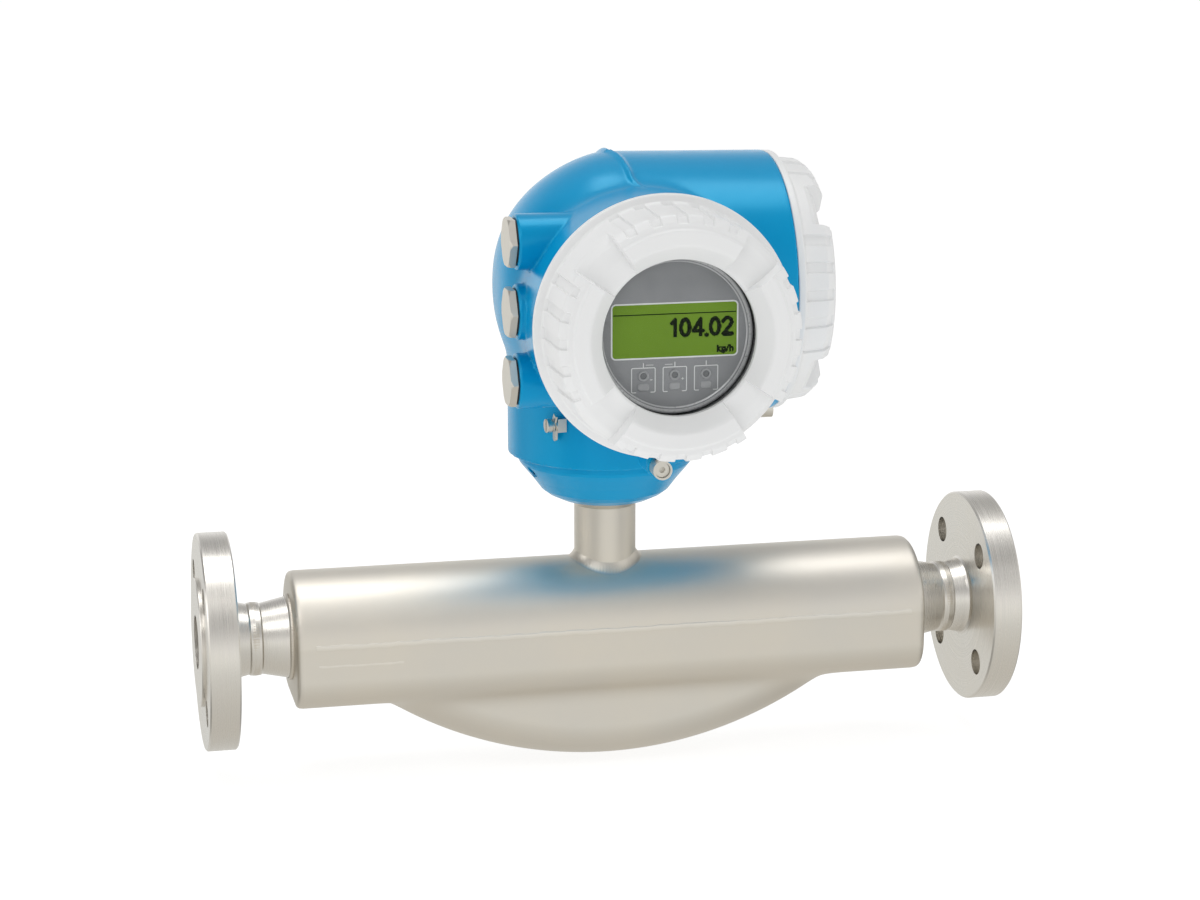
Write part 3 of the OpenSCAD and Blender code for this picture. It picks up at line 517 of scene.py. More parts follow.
COLUMN_R = 51.8
BARREL_R, DOME_R, DOME_L = 68.5, 69.97, 60.0
DISPLAY_R = 62.5
BEAD_RISE, BEAD_HALF = 1.68, 1.7
FILLET_COLUMN, FILLET_DISPLAY, FILLET_ENTRY, FILLET_CLAMP = 7.0, 6.0, 1.8, 2.0
JOINT_GAP = 0.05  # keeps the casting off the faces that it meets
BOSS_R, ENTRY_X, ENTRY_Y = 14.3, -58.5, -53.0
ENTRY_Z = []
for plug in ("blanking_plug_1", "blanking_plug_2", "blanking_plug_3"):
    p_lo, p_hi = nbox(plug)
    ENTRY_Z.append(float((p_lo[2] + p_hi[2]) / 2))
CLAMP_R = 5.9
CLAMPS = []
for clamp_name, clamp_axis in (("display_clamp", "y"), ("connection_clamp", "x")):
    c_lo, c_hi = nbox(clamp_name)
    clamp_x, clamp_y, clamp_z = (c_lo + c_hi) / 2
    CLAMPS.append((clamp_x - MX, clamp_y, clamp_z, clamp_axis))


def housing_field(p):
    """Column, barrel with a domed back, display cylinder, cable entries and clamp bosses in one skin."""
    x, y, z = p[..., 0], p[..., 1], p[..., 2]
    column = cyl_field(np.hypot(x, y), z, COLUMN_R, BASE_TOP + JOINT_GAP, BZ, 1.0)
    rho = np.hypot(y - BY, z - BZ)
    t = np.clip(-x / DOME_L, 0, None)
    # a superellipse of revolution, divided by its slope to make a distance
    g = (rho / DOME_R) ** 2.5 + t ** 1.46 - 1
    slope = np.hypot(2.5 * rho ** 1.5 / DOME_R ** 2.5, 1.46 * t ** 0.46 / DOME_L) + 1e-6
    dome = np.maximum(g / slope, -40.0)
    wall = DOME_R + (BARREL_R - DOME_R) * np.clip(x / CSEAT, 0, 1)
    tube = smax(rho - wall, x - (CSEAT - JOINT_GAP), 1.4)
    barrel = np.where(x < 0, dome, tube)
    # bead over the top, bending towards the covers as it comes forward
    phi = np.arctan2(-(y - BY), z - BZ)
    centre = -0.5 + 4.4 * np.sqrt(np.clip(phi / 0.45, 0, 1)) + 140.0 * np.clip(phi - 0.5, 0, 0.5) ** 2
    off = (x - centre) / BEAD_HALF
    fade = np.clip((z - BZ - np.where(y > BY, 22.0, 0.0)) / 12.0, 0, 1)
    barrel = barrel - BEAD_RISE * np.exp(-off * off) * fade
    display = cyl_field(np.hypot(x - DX, z - DZ), -y, DISPLAY_R, 0.0, -DSEAT - JOINT_GAP, 0.9)
    body = smin(barrel, column, FILLET_COLUMN)
    body = smin(body, display, FILLET_DISPLAY)
    for ez in ENTRY_Z:
        boss = cyl_field(np.hypot(y - ENTRY_Y, z - ez), x, BOSS_R, ENTRY_X, DX, 1.0)
        body = smin(body, boss, FILLET_ENTRY)
    for cx, cy, cz, axis in CLAMPS:
        across, out, seat = (x - cx, -y, -DSEAT) if axis == "y" else (y - cy, x, CSEAT)
        boss = cyl_field(np.hypot(across, z - cz), out, CLAMP_R, seat - 20.0, seat - 0.3, 0.8)
        above = np.maximum(np.abs(z - cz - 6.0) - 6.0, np.abs(out - seat + 10.0) - 9.2)
        web = np.maximum(np.abs(across) - CLAMP_R, above)
        body = smin(body, np.minimum(boss, web), FILLET_CLAMP)
    return body


def build_housing():
    step = 1.35
    lo = np.array([-66.0, -103.0, BASE_TOP - 4.0])
    hi = np.array([CSEAT + 3.0, 68.0, BZ + 78.0])
    verts, quads, normals = surface_net(housing_field, lo, hi, step)
    return new_mesh("housing_casting", shift(verts), quads, M["blue"], "transmitter", normals)


housing = build_housing()


# ---------------------------------------------------------------- screwed covers
def at_display(p):
    """Local X right, Y up, Z out of the display, from the cover's seat."""
    return np.stack([p[:, 0] + DX + MX, DSEAT - p[:, 2], p[:, 1] + DZ], 1)


def at_barrel_end(p):
    """Local Z out of the barrel's end, from the cover's seat."""
    return np.stack([p[:, 2] + CSEAT + MX, p[:, 1] + BY, -p[:, 0] + BZ], 1)


def soft_box(v, half, ramp):
    """1 inside +-half, 0 outside, with a smooth wall of the given width."""
    t = np.clip((half + ramp / 2 - np.abs(v)) / ramp, 0, 1)
    return t * t * (3 - 2 * t)


# half widths in degrees, and the groove's depth in millimetres
GROOVES, GROOVE_HALF, GROOVE_DEPTH = 28, 2.5, 1.15
SCOOP_HALF = 11.3


def cover_angles():
    """Angles of a cover's columns in degrees, close together at the sides of grooves and scoops."""
    steps = []
    for q in range(4):
        for k in range(-2, 3):
            mid = 90.0 * q + k * 360.0 / GROOVES
            steps += [mid - GROOVE_HALF, mid + GROOVE_HALF]
        steps += [90.0 * q + 45.0 - SCOOP_HALF, 90.0 * q + 45.0 + SCOOP_HALF]
    near = [-1.0, -0.62, -0.42, -0.28, -0.14, 0.0, 0.14, 0.28, 0.42, 0.62, 1.0]
    out = {round(v % 360.0, 3) for mid in steps for v in (mid + d for d in near)}
    gap = 1.3
    cells = sorted(out)
    for a, b in zip(cells, cells[1:] + [cells[0] + 360.0]):
        n = int((b - a) / gap)
        out |= {round((a + (b - a) * k / (n + 1)) % 360.0, 3) for k in range(1, n + 1)}
    return np.array(sorted(out))


def screwed_cover(name, place, body, rim, height, knurl, lip, well, inner, depth, phase):
    """A cover with a rim ring, a knurl in four groups from the rim to the shoulder, and four finger scoops.

    knurl: its heights and radii at the rim and at the shoulder. lip, well, depth: radii of the front's
    edge and of its recess, and how deep that lies. inner: the profile inside, from the seat inwards.
    phase: a turn about the cover's axis in degrees.
    """
    z0, z1, r0, r1 = knurl
    rows = 104
    low = round_corners([(inner[0][0], 0), (rim - 0.1, 0), (rim, 3.9), (r0 + 0.9, z0 - 0.6),
                         (r0, z0 + 0.6)], [0, 0.7, 1.0, 0.9, 0])
    main = round_corners([
        (r0, z0 + 0.6), (r1, z1), (lip + 3.6, height - 1.9), (lip + 0.9, height - 1.5),
        (lip - 0.2, height), (46.6, height), (45.3, height - 0.8), (well, height - depth),
        (well, height - depth - 1.6)], [0, 2.2, 1.2, 1.0, 0.8, 0.5, 0.8, 0.5, 0], 5)
    floor_z = height - depth + 0.6
    scoop = round_corners([
        (r0, z0 + 0.6), (r0 + (r1 - r0) * 0.5, z0 + (z1 - z0) * 0.5), (r1 + 0.2, floor_z - 9.5),
        (r1 - 1.0, floor_z - 7.2), (57, floor_z - 3.8), (50, floor_z - 1.2), (well + 1.2, floor_z - 0.2),
        (well, floor_z - 1.2), (well, height - depth - 1.6)], [0, 2, 2, 2.5, 3, 8, 0.7, 0.3, 0], 5)
    main, scoop = resample(main, rows), resample(scoop, rows)
    deg = cover_angles()
    th = np.radians(deg)
    quarter = (deg + 45.0) % 90.0 - 45.0
    in_scoop = soft_box(45.0 - np.abs(quarter), SCOOP_HALF, 0.9)
    k = np.round(quarter / (360.0 / GROOVES))
    wave = quarter - k * 360.0 / GROOVES
    groove = soft_box(wave, GROOVE_HALF, 0.6) * (np.abs(k) <= 2)
    shoulder, outside = lip + 3.4, 80
    along = soft_box(main[:, 0] - (shoulder + outside) / 2, (outside - shoulder) / 2, 0.8)
    tangent = np.gradient(main, axis=0)
    tangent /= np.linalg.norm(tangent, axis=1, keepdims=True) + 1e-9
    nrm = np.stack([tangent[:, 1], -tangent[:, 0]], 1)
    cut = GROOVE_DEPTH * groove[:, None] * along[None, :]
    base = main[None] - cut[..., None] * nrm[None]
    mixed = base * (1 - in_scoop[:, None, None]) + scoop[None] * in_scoop[:, None, None]
    cols = len(th)
    hidden = np.array(inner[::-1][:-1], float)
    grid = np.concatenate([np.repeat(low[:-1, None, :], cols, 1), mixed.transpose(1, 0, 2),
                           np.repeat(hidden[:, None, :], cols, 1)])
    faces = loft_faces(len(grid), cols, True, True)
    ob = new_mesh(name, place(spin(grid, th + math.radians(phase))), faces, M["white"], body)
    edge_smooth(ob, 30.0)
    return ob


D_H, C_H = DSEAT - DFRONT, CFRONT - CSEAT
D_RIM, C_RIM = (dc_hi[0] - dc_lo[0]) / 2, (cc_hi[1] - cc_lo[1]) / 2
D_NECK, C_NECK = 59.3, 60.4
NECK_PLAY, THREAD_ROOM = 0.1, 12.5
display_cover = screwed_cover(
    "display_cover_form", at_display, "display_lid", rim=D_RIM, height=D_H, knurl=(5.2, 36.4, 62.0, 61.0),
    lip=53.7, well=38.6, inner=[
        (D_NECK + NECK_PLAY, 0), (D_NECK + NECK_PLAY, THREAD_ROOM), (57, THREAD_ROOM), (57, 24), (54, 27.5),
        (47, 27.5), (46.4, 21), (43.5, 21), (43.5, 31.5), (38.6, 31.5)], depth=7.0, phase=0.0)
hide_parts("display_cover")

connection_cover = screwed_cover(
    "connection_cover_form", at_barrel_end, "connection_lid", rim=C_RIM, height=C_H,
    knurl=(5.0, 17.2, 65.0, 63.6), lip=57.0, well=44.5, inner=[
        (C_NECK + NECK_PLAY, 0), (C_NECK + NECK_PLAY, THREAD_ROOM), (50, THREAD_ROOM), (50, 14.5),
        (0.02, 14.5)], depth=3.0, phase=-1.3)
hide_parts("connection_cover")

THREAD_PITCH, THREAD_DEPTH, THREAD_LENGTH = 2.0, 1.1, 11.0
ROOT_Z = -2.0  # where the neck starts, inside the casting


def thread(name, place, radius, bore):
    """The housing's threaded neck, with one start, open inside."""
    cols, steps = 144, 8
    th = np.linspace(0, 2 * np.pi, cols, endpoint=False)
    n = int(THREAD_LENGTH / THREAD_PITCH * steps)
    core = radius - THREAD_DEPTH
    rows = [np.stack([np.full(cols, bore), np.full(cols, end)], 1) for end in (ROOT_Z, THREAD_LENGTH)]
    for i in range(n, -1, -1):
        z = THREAD_LENGTH * i / n
        turn = (z / THREAD_PITCH - th / (2 * np.pi)) % 1.0
        tooth = np.clip(1.6 - 3.2 * np.abs(turn - 0.5), 0, 1)
        fade = min(1.0, (THREAD_LENGTH - z) / 1.2)
        rows.append(np.stack([core + THREAD_DEPTH * tooth * fade, np.full(cols, z)], 1))
    rows.append(np.stack([np.full(cols, core), np.full(cols, ROOT_Z)], 1))
    faces = loft_faces(len(rows), cols, True, True)
    ob = new_mesh(name, place(spin(np.array(rows), th)), faces, M["neck"], "transmitter")
    edge_smooth(ob, 40.0)


thread("display_thread", at_display, D_NECK, 56.0)
thread("connection_thread", at_barrel_end, C_NECK, 51.0)


# ---------------------------------------------------------------- sensor housing, one smooth welded body
SHELL_W, TROUGH, CORNER = 35.0, 34.1, 18.0
BELLY_R, BELLY_C, BELLY_W, BELLY_ROUND = 215.0, 141.2, 25.0, 20.0
BELLY_TOP, FILLET_BELLY, FILLET_END = 22.0, 9.0, 5.0
SHELL_END = float(nbox("outlet_end_plate")[1][0]) - MX
SEAM_Z, SEAM_HALF, SEAM_RISE = 2.5, 1.5, 0.10


def shell_field(p):
    """The straight trough, closed at both ends, and the bow of the flow tubes below it."""
    x, y, z = p[..., 0], np.abs(p[..., 1]), p[..., 2]
    low = corner_field(y - (SHELL_W - CORNER), -z - (TROUGH - CORNER), CORNER)
    section = np.where(z > 0, np.hypot(y, z) - SHELL_W, low)
    seam = np.exp(-((z - SEAM_Z) / SEAM_HALF) ** 2) * SEAM_RISE
    trough = smax(section - seam, np.abs(x) - SHELL_END, FILLET_END)
    radial = np.hypot(x, z - BELLY_C)
    belly = corner_field(y - (BELLY_W - BELLY_ROUND), radial - (BELLY_R - BELLY_ROUND), BELLY_ROUND)
    return smin(trough, np.maximum(belly, z + BELLY_TOP), FILLET_BELLY)


def build_shell():
    step = 1.7
    lo = np.array([-SHELL_END - 4.0, -39.0, -81.0])
    hi = np.array([SHELL_END + 4.0, 39.0, 39.0])
    verts, quads, normals = surface_net(shell_field, lo, hi, step)
    return new_mesh("sensor_housing", shift(verts), quads, M["blasted"], "sensor", normals)


shell = build_shell()
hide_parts("upper_shell", "lower_shell", "inlet_end_plate", "outlet_end_plate")


def seam_bead(name, path, normals, width, height, ripple):
    """A rippled weld bead along a path; normals point off the surface, width and height in mm."""
    tangent = np.roll(path, -1, 0) - np.roll(path, 1, 0)
    tangent[0], tangent[-1] = path[1] - path[0], path[-1] - path[-2]
    tangent /= np.linalg.norm(tangent, axis=1, keepdims=True)
    side = np.cross(tangent, normals)
    seg = np.linalg.norm(np.diff(path, axis=0), axis=1)
    s = np.concatenate([[0], np.cumsum(seg)])
    wave = np.abs(np.sin(np.pi * s / ripple)) ** 0.6
    drift = 0.05 * np.sin(s * 0.9) + 0.04 * np.sin(s * 0.37 + 1.0)
    k = 9
    rings = []
    for j in range(k):
        a = math.pi * j / (k - 1)
        lift = np.sin(a) * height * (0.72 + 0.28 * wave + drift) - 0.25
        across = np.cos(a) * width / 2 * (0.94 + 0.06 * wave + drift)
        rings.append(path + side * across[:, None] + normals * lift[:, None])
    verts = np.stack(rings, 1).reshape(-1, 3)
    new_mesh(name, shift(verts), loft_faces(len(path), k, False), M["seam"], "sensor")


def seam_path(side, start, end, z=SEAM_Z, step=0.55):
    """A slightly unsteady line along the shell's side, and the directions off the surface."""
    xs = np.arange(start, end, step)
    wob = 0.14 * np.sin(xs * 0.41 + side) + 0.12 * np.sin(xs * 0.093 + 2 * side)
    y = side * (SHELL_W + 0.05)
    return np.stack([xs, np.full_like(xs, y), z + wob], 1), np.tile([0.0, side, 0.0], (len(xs), 1))


for seam_name, seam_side in (("seam_front", -1.0), ("seam_back", 1.0)):
    seam_bead(seam_name, *seam_path(seam_side, -SHELL_X + 6.0, SHELL_X - 4.0), 3.0, 0.36, 1.1)
seam_bead("seam_front_repair", *seam_path(-1.0, -SHELL_X + 7.0, -SHELL_X + 52.0, z=-7.5), 2.0, 0.28, 1.4)

NECK_R, NECK_BORE, NECK_TOP_R = 16.5, 13.5, 19.4


def neck_weld():
    """Rippled fillet round the neck's foot, lying on the round shell."""
    n, rings = 900, 13
    a = np.linspace(0, 2 * np.pi, n, endpoint=False)
    ripple = np.abs(np.sin(a * 33)) ** 0.6
    drift = 0.25 * np.sin(3 * a + 0.6) + 0.2 * np.sin(7 * a)
    out = 3.7 + drift * 0.4
    rows = []
    for t in np.linspace(0, 1, rings):
        r = NECK_R - 0.15 + out * t
        y = r * np.sin(a)
        ground = np.sqrt(SHELL_W ** 2 - y ** 2)
        high = (4.2 + 0.3 * drift) * (1 - t) ** 1.8 + 0.12 * math.sin(math.pi * t) * ripple
        rows.append(np.stack([r * np.cos(a), y, ground - 0.1 + high], 1))
    verts = np.array(rows).reshape(-1, 3)
    new_mesh("neck_foot_weld", shift(verts), loft_faces(rings, n), M["weld"], "sensor")


neck_weld()
neck_low, neck_high = (corner[2] for corner in nbox("neck_tube"))
neck = lathe("neck_pipe", [
    (NECK_BORE, neck_low), (NECK_R, neck_low), (NECK_R, neck_high - 3.4), (NECK_TOP_R, neck_high - 0.4),
    (NECK_TOP_R, neck_high), (NECK_BORE, neck_high)], shift, M["blasted"], "sensor", 128, True)
edge_smooth(neck, 20.0)
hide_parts("neck_tube")


def ring_weld(name, x, r, width, height, ripple=1.4):
    """A rippled bead round the line's axis."""
    n, rings = int(2 * math.pi * r / 0.4), 9
    a = np.linspace(0, 2 * np.pi, n, endpoint=False)
    count = round(2 * math.pi * r / ripple)
    wave = np.abs(np.sin(a * count / 2)) ** 0.6
    rows = []
    for j in range(rings):
        t = math.pi * j / (rings - 1)
        rr = r - 0.2 + math.sin(t) * height * (0.75 + 0.25 * wave) + 0.05 * np.sin(5 * a)
        xx = x + math.cos(t) * width / 2 * (0.95 + 0.05 * wave) + 0.12 * np.sin(4 * a + x)
        rows.append(np.stack([xx, rr * np.cos(a), rr * np.sin(a)], 1))
    verts = np.array(rows).reshape(-1, 3)
    new_mesh(name, shift(verts), loft_faces(rings, n), M["weld"], "sensor")


BUTT_X, MANIFOLD_X = 190.0, 171.3
for tag, sx in (("inlet", -1.0), ("outlet", 1.0)):
    ring_weld(tag + "_butt_weld", sx * BUTT_X, 19.1, 5.2, 0.6)
    ring_weld(tag + "_manifold_weld", sx * MANIFOLD_X, 22.0, 3.4, 1.0)


# ---------------------------------------------------------------- display contents
FACE_Y = float(nbox("display_module")[0][1])
FILM = FACE_Y + 0.97  # Y of the film, which lies a little behind the bezel's edge
FILM_R = 36.4


def flat(name, polys, level, mat):
    """Flat print on the display's film. polys: outlines in (x, z) about the display's axis."""
    verts, faces = [], []
    for poly in polys:
        b = len(verts)
        verts += [(px + DX, FILM - level, pz + DZ) for px, pz in poly]
        faces.append(tuple(range(b, b + len(poly))))
    new_mesh(name, shift(np.array(verts)), faces, mat, "display_unit", smooth=False)


def ribbon(points, width, closed=False):
    """Quads of a line of a given width with mitred corners."""
    pts = [np.array(p, float) for p in points]
    n = len(pts)
    left, right = [], []
    for i in range(n):
        a = pts[i - 1] if (i > 0 or closed) else pts[i]
        b = pts[(i + 1) % n] if (i < n - 1 or closed) else pts[i]
        d1 = pts[i] - a
        d2 = b - pts[i]
        d1 = d1 / np.linalg.norm(d1) if np.linalg.norm(d1) > 1e-9 else d2 / np.linalg.norm(d2)
        d2 = d2 / np.linalg.norm(d2) if np.linalg.norm(d2) > 1e-9 else d1
        nn = np.array([-(d1 + d2)[1], (d1 + d2)[0]])
        nn /= np.linalg.norm(nn)
        mitre = max(0.35, float(nn @ np.array([-d1[1], d1[0]])))
        left.append(pts[i] + nn * width / 2 / mitre)
        right.append(pts[i] - nn * width / 2 / mitre)
    quads = []
    for i in range(n if closed else n - 1):
        j = (i + 1) % n
        quads.append([right[i], right[j], left[j], left[i]])
    return quads


def arc(cx, cz, rx, rz, a0, a1, n=14):
    """Points of an elliptic arc, with its angles in degrees."""
    angles = [math.radians(a0 + (a1 - a0) * k / n) for k in range(n + 1)]
    return [(cx + rx * math.cos(a), cz + rz * math.sin(a)) for a in angles]


def rounded_rect(cx, cz, w, h, r):
    """Outline of a rectangle with rounded corners."""
    pts = []
    for sx, sz, a0 in ((1, 1, 0), (-1, 1, 90), (-1, -1, 180), (1, -1, 270)):
        pts += arc(cx + sx * (w / 2 - r), cz + sz * (h / 2 - r), r, r, a0, a0 + 90, 6)
    return pts


LCX, LCZ = -0.1, 2.2
LW, LH = 62.6, 26.4
flat("panel_film", [arc(0, 0, FILM_R, FILM_R, 0, 357, 119)], 0.0, M["panel"])
flat("lcd_pane", [rounded_rect(LCX, LCZ, LW, LH, 1.7)], 0.10, M["lcd"])
border = ribbon(rounded_rect(LCX, LCZ, LW + 0.6, LH + 0.6, 2.1), 0.75, True)
flat("lcd_border", border, 0.14, M["print"])


def pixels(strokes, x0, z0, height, weight, cell=0.46):
    """Draws a stroked sign as square pixels. strokes: polylines in units of the height."""
    segs = []
    for line in strokes:
        for a, b in zip(line[:-1], line[1:]):
            segs.append((np.array(a, float) * height, np.array(b, float) * height))
    ends = np.array([p for seg in segs for p in seg])
    lo, hi = ends.min(0) - weight, ends.max(0) + weight
    side = cell * 0.97
    quads = []
    for i in range(int(lo[0] / cell) - 1, int(hi[0] / cell) + 2):
        for j in range(int(lo[1] / cell) - 1, int(hi[1] / cell) + 2):
            c = np.array([(i + 0.5) * cell, (j + 0.5) * cell])
            best = 1e9
            for a, b in segs:
                ab = b - a
                t = 0.0 if not ab.any() else min(1.0, max(0.0, float((c - a) @ ab / (ab @ ab))))
                best = min(best, float(np.linalg.norm(c - a - ab * t)))
            if best < weight / 2:
                g0 = np.array([x0 + i * cell, z0 + j * cell])
                quads.append([g0, g0 + (side, 0), g0 + (side, side), g0 + (0, side)])
    return quads


# width and strokes of every sign on the display, in units of its height
SIGNS = {
    "0": (0.56, [arc(0.28, 0.5, 0.19, 0.42, 0, 360, 28)]),
    "1": (0.42, [[(0.10, 0.72), (0.25, 0.92), (0.25, 0.08)]]),
    "2": (0.56, [arc(0.28, 0.70, 0.19, 0.22, 165, -35, 16) + [(0.10, 0.08), (0.48, 0.08)]]),
    "4": (0.58, [[(0.41, 0.08), (0.41, 0.92), (0.09, 0.30), (0.52, 0.30)]]),
    ".": (0.20, [[(0.09, 0.07), (0.11, 0.07)]]),
    "k": (0.62, [[(0.10, 0.0), (0.10, 1.0)], [(0.46, 0.68), (0.12, 0.34)], [(0.22, 0.42), (0.48, 0.0)]]),
    "g": (0.62, [arc(0.27, 0.36, 0.19, 0.31, 0, 360, 18),
                 [(0.46, 0.66), (0.46, -0.10), (0.30, -0.26), (0.10, -0.20)]]),
    "/": (0.44, [[(0.05, -0.05), (0.36, 1.0)]]),
    "h": (0.62, [[(0.10, 0.0), (0.10, 1.0)], [(0.10, 0.50), (0.28, 0.68), (0.44, 0.52), (0.44, 0.0)]]),
}


def line_of(text, right, base, height, weight, stretch):
    """A line of signs that ends at the right."""
    total = sum(SIGNS[c][0] for c in text) * height * stretch
    x = right - total
    quads = []
    for c in text:
        w, strokes = SIGNS[c]
        wide = [[(px * stretch, pz) for px, pz in line] for line in strokes]
        quads += pixels(wide, x, base, height, weight)
        x += w * height * stretch
    return quads


ink = line_of("104.02", LCX + 29.6, LCZ - 3.5, 9.4, 2.0, 1.19)
ink += line_of("kg/h", LCX + 29.8, LCZ - 11.3, 3.0, 0.9, 1.25)
RULE_HALF, RULE_LOW, RULE_HIGH = 30.8, LCZ + 7.9, LCZ + 8.4
ink += [[(LCX - RULE_HALF, RULE_LOW), (LCX + RULE_HALF, RULE_LOW),
         (LCX + RULE_HALF, RULE_HIGH), (LCX - RULE_HALF, RULE_HIGH)]]
flat("lcd_digits", ink, 0.18, M["ink"])

KEY_PITCH = 15.8
KEY_Z = -1.4
FRAME_TOP, FRAME_BOTTOM, FRAME_HALF = -14.6 + KEY_Z, -26.7 + KEY_Z, 5.9
EYE_Z, PAD_Z = -18.6 + KEY_Z, -24.2 + KEY_Z
DASH_Z, SIGN_Z = -13.2 + KEY_Z, -20.6 + KEY_Z
lines = []
for k in (-1, 0, 1):
    kx = k * KEY_PITCH
    left, right = kx - FRAME_HALF, kx + FRAME_HALF
    lines += ribbon([
        (kx - 3.6, FRAME_BOTTOM), (left + 0.4, FRAME_BOTTOM), (left, FRAME_BOTTOM + 0.4),
        (left, FRAME_TOP - 0.4), (left + 0.4, FRAME_TOP), (right - 0.4, FRAME_TOP),
        (right, FRAME_TOP - 0.4), (right, FRAME_BOTTOM + 0.4), (right - 0.4, FRAME_BOTTOM),
        (kx + 3.6, FRAME_BOTTOM)], 0.42)
    lines += ribbon([(kx, FRAME_TOP), (kx, FRAME_TOP + 2.5)], 0.42)
# short dashes above the frames, then a minus and a plus inside two of them
for x0, x1 in ((-KEY_PITCH + 1.2, -KEY_PITCH + 5.0), (-5.0, -1.2)):
    lines += ribbon([(x0, DASH_Z), (x1, DASH_Z)], 0.25)
for x0 in (-KEY_PITCH + 3.9, 3.9):
    lines += ribbon([(x0 - 0.6, SIGN_Z), (x0 + 0.6, SIGN_Z)], 0.35)
lines += ribbon([(3.9, SIGN_Z + 0.6), (3.9, SIGN_Z - 0.6)], 0.35)
flat("key_marks", lines, 0.12, M["print"])


def at_face(y, cx=0.0, cz=0.0):
    """Local X right, Y up, Z out of the display, from (cx, cz) about its axis and from a given Y."""
    return lambda p: np.stack([p[:, 0] + DX + MX + cx, y - p[:, 2], p[:, 1] + DZ + cz], 1)


def key_pad(name, cx, cz):
    """A small raised pad with a hollow middle."""
    outline = np.array(rounded_rect(cx, cz, 5.6, 3.4, 1.2))
    m = len(outline)
    c = outline.mean(0)
    d = outline - c
    rows = []
    for grow, level in ((0.15, 0.02), (0.0, 0.38), (-0.35, 0.5), (-1.1, 0.42)):
        rows.append(np.stack([c[0] + d[:, 0] * (1 + grow / 2.7) + DX, np.full(m, FILM - level),
                              c[1] + d[:, 1] * (1 + grow / 1.6) + DZ], 1))
    verts = np.concatenate(rows + [np.array([[cx + DX, FILM - 0.4, c[1] + DZ]])])
    faces = loft_faces(len(rows), m)
    rim = len(verts) - 1 - m
    faces += [(rim + j, rim + (j + 1) % m, rim + m) for j in range(m)]
    new_mesh(name, shift(verts), faces, M["pad"], "display_unit")


for k, tag in ((-1, "left"), (0, "middle"), (1, "right")):
    kx = k * KEY_PITCH
    lathe("key_collar_" + tag, [(1.55, 0.05), (1.75, 0.45), (2.5, 0.5), (2.75, 0.05)],
          at_face(FILM, kx, EYE_Z), M["pad"], "display_unit", 40)
    lathe("key_eye_" + tag, [(0.01, 0.32), (1.0, 0.28), (1.6, 0.1)],
          at_face(FILM, kx, EYE_Z), M["lens"], "display_unit", 40)
    key_pad("key_pad_" + tag, kx, PAD_Z)

lathe("display_bezel", [(35.9, -0.98), (36.5, -0.5), (37.1, 0.05), (38.3, 0.12), (38.9, -0.3), (38.95, -1.5)],
      at_face(FACE_Y), M["bezel"], "display_unit", 160)
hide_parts("screen")


# ---------------------------------------------------------------- scene
MIDDLE = MX / MM
CAMERA_AT = (MIDDLE - 0.32697, -1.45756, 0.43677)
CAMERA_DOWN, CAMERA_TURN = 12.9697, -12.5446  # degrees
cam_data = bpy.data.cameras.new("camera")
cam = bpy.data.objects.new("camera", cam_data)
bpy.context.scene.collection.objects.link(cam)
cam.location = CAMERA_AT
cam.rotation_euler = (math.radians(90 - CAMERA_DOWN), 0, math.radians(CAMERA_TURN))
cam_data.lens = 86.0
cam_data.sensor_width = 36.0
cam_data.clip_start = 0.05
bpy.context.scene.camera = cam


def area(name, loc, size, power, size_y=None):
    """A white area light that looks at the meter's middle."""
    data = bpy.data.lights.new(name, "AREA")
    data.energy = power
    data.size = size
    if size_y:
        data.shape = "RECTANGLE"
        data.size_y = size_y
    ob = bpy.data.objects.new(name, data)
    bpy.context.scene.collection.objects.link(ob)
    ob.location = loc
    aim = Vector((MIDDLE, 0, 0.08)) - Vector(loc)
    ob.rotation_euler = aim.to_track_quat("-Z", "Y").to_euler()


area("key", (-0.45, -1.15, 1.55), 0.9, 4.5)
area("fill", (1.5, -1.0, 0.7), 1.0, 2.0)
area("top", (0.30, 0.15, 1.7), 1.4, 8.0, size_y=0.8)
area("left", (-1.4, -0.1, 0.7), 0.8, 2.5)

world = bpy.data.worlds.new("studio")
world.use_nodes = True
sky = world.node_tree


def sky_node(kind, *sources, **props):
    """A node of the world, with its first inputs wired to the given outputs."""
    node = sky.nodes.new(kind)
    for key, value in props.items():
        setattr(node, key, value)
    for i, source in enumerate(sources):
        sky.links.new(source, node.inputs[i])
    return node


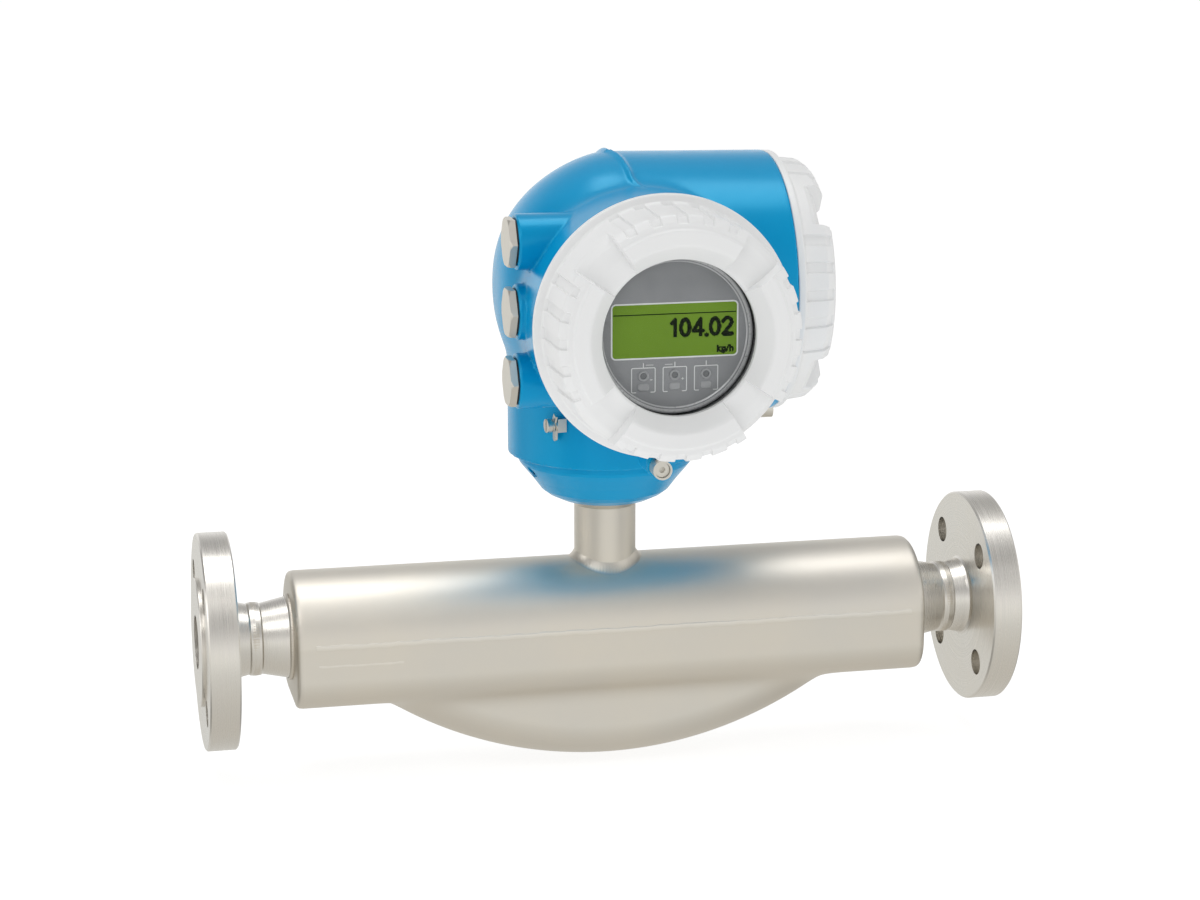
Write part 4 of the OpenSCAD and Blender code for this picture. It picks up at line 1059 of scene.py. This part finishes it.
def sky_ramp(source, stops, interpolation="LINEAR"):
    """A colour ramp. stops: positions from 0 to 1 with their colours."""
    node = sky_node("ShaderNodeValToRGB", source)
    node.color_ramp.interpolation = interpolation
    marks = node.color_ramp.elements
    marks[0].color, marks[1].color = (*stops[0][1], 1), (*stops[-1][1], 1)
    for at, rgb in stops[1:-1]:
        marks.new(at).color = (*rgb, 1)
    return node.outputs[0]


# brightest at the horizon, darker above and below it, with a darker strip on the left and the right
WARM = 0.97
view = sky_node("ShaderNodeTexCoord").outputs["Generated"]
view_x, _, view_z = sky_node("ShaderNodeSeparateXYZ", view).outputs
height = sky_node("ShaderNodeMapRange", view_z)
height.inputs["From Min"].default_value = -1.0
height.inputs["From Max"].default_value = 1.0
levels = [(-0.3, 0.78), (-0.05, 0.97), (0.1, 1.0), (0.3, 0.74), (0.6, 0.42), (0.85, 0.50)]
tones = [(at * 0.5 + 0.5, (v, v, v * (WARM if at < 0 else 1.0))) for at, v in levels]
up_down = sky_ramp(height.outputs["Result"], [(0, (0.64, 0.62, 0.58)), *tones, (1, (0.85, 0.85, 0.85))])
strips = [(0, 1.0), (0.45, 1.0), (0.68, 0.5), (0.80, 0.5), (0.95, 1.0), (1, 1.0)]
sideways = sky_ramp(sky_node("ShaderNodeMath", view_x, operation="ABSOLUTE").outputs[0],
                    [(at, (v, v, v)) for at, v in strips], "EASE")
both = sky_node("ShaderNodeVectorMath", up_down, sideways, operation="MULTIPLY")
sky.links.new(both.outputs[0], sky.nodes["Background"].inputs[0])
sky.nodes["Background"].inputs[1].default_value = 1.0
bpy.context.scene.world = world
bpy.context.scene.view_settings.view_transform = "Standard"

FLOOR_GAP = 0.0005
floor_z = cad_box[0][2] - FLOOR_GAP
me = bpy.data.meshes.new("floor")
me.from_pydata([(-6, -6, floor_z), (6, -6, floor_z), (6, 9, floor_z), (-6, 9, floor_z)], [], [(0, 1, 2, 3)])
floor = bpy.data.objects.new("floor", me)
bpy.context.scene.collection.objects.link(floor)
pale = Graph("floor_pale")
pale.colour(pale.mix(pale.span(pale.noise(3.0, 2.0), 0.0, 1.0), (0.40, 0.40, 0.40), (0.42, 0.42, 0.42)))
pale.set(Roughness=0.9, Emission_Color=(1.0, 1.0, 1.0, 1.0), Emission_Strength=0.78)
me.materials.append(pale.mat)
floor.visible_glossy = False

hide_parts("transmitter_housing")
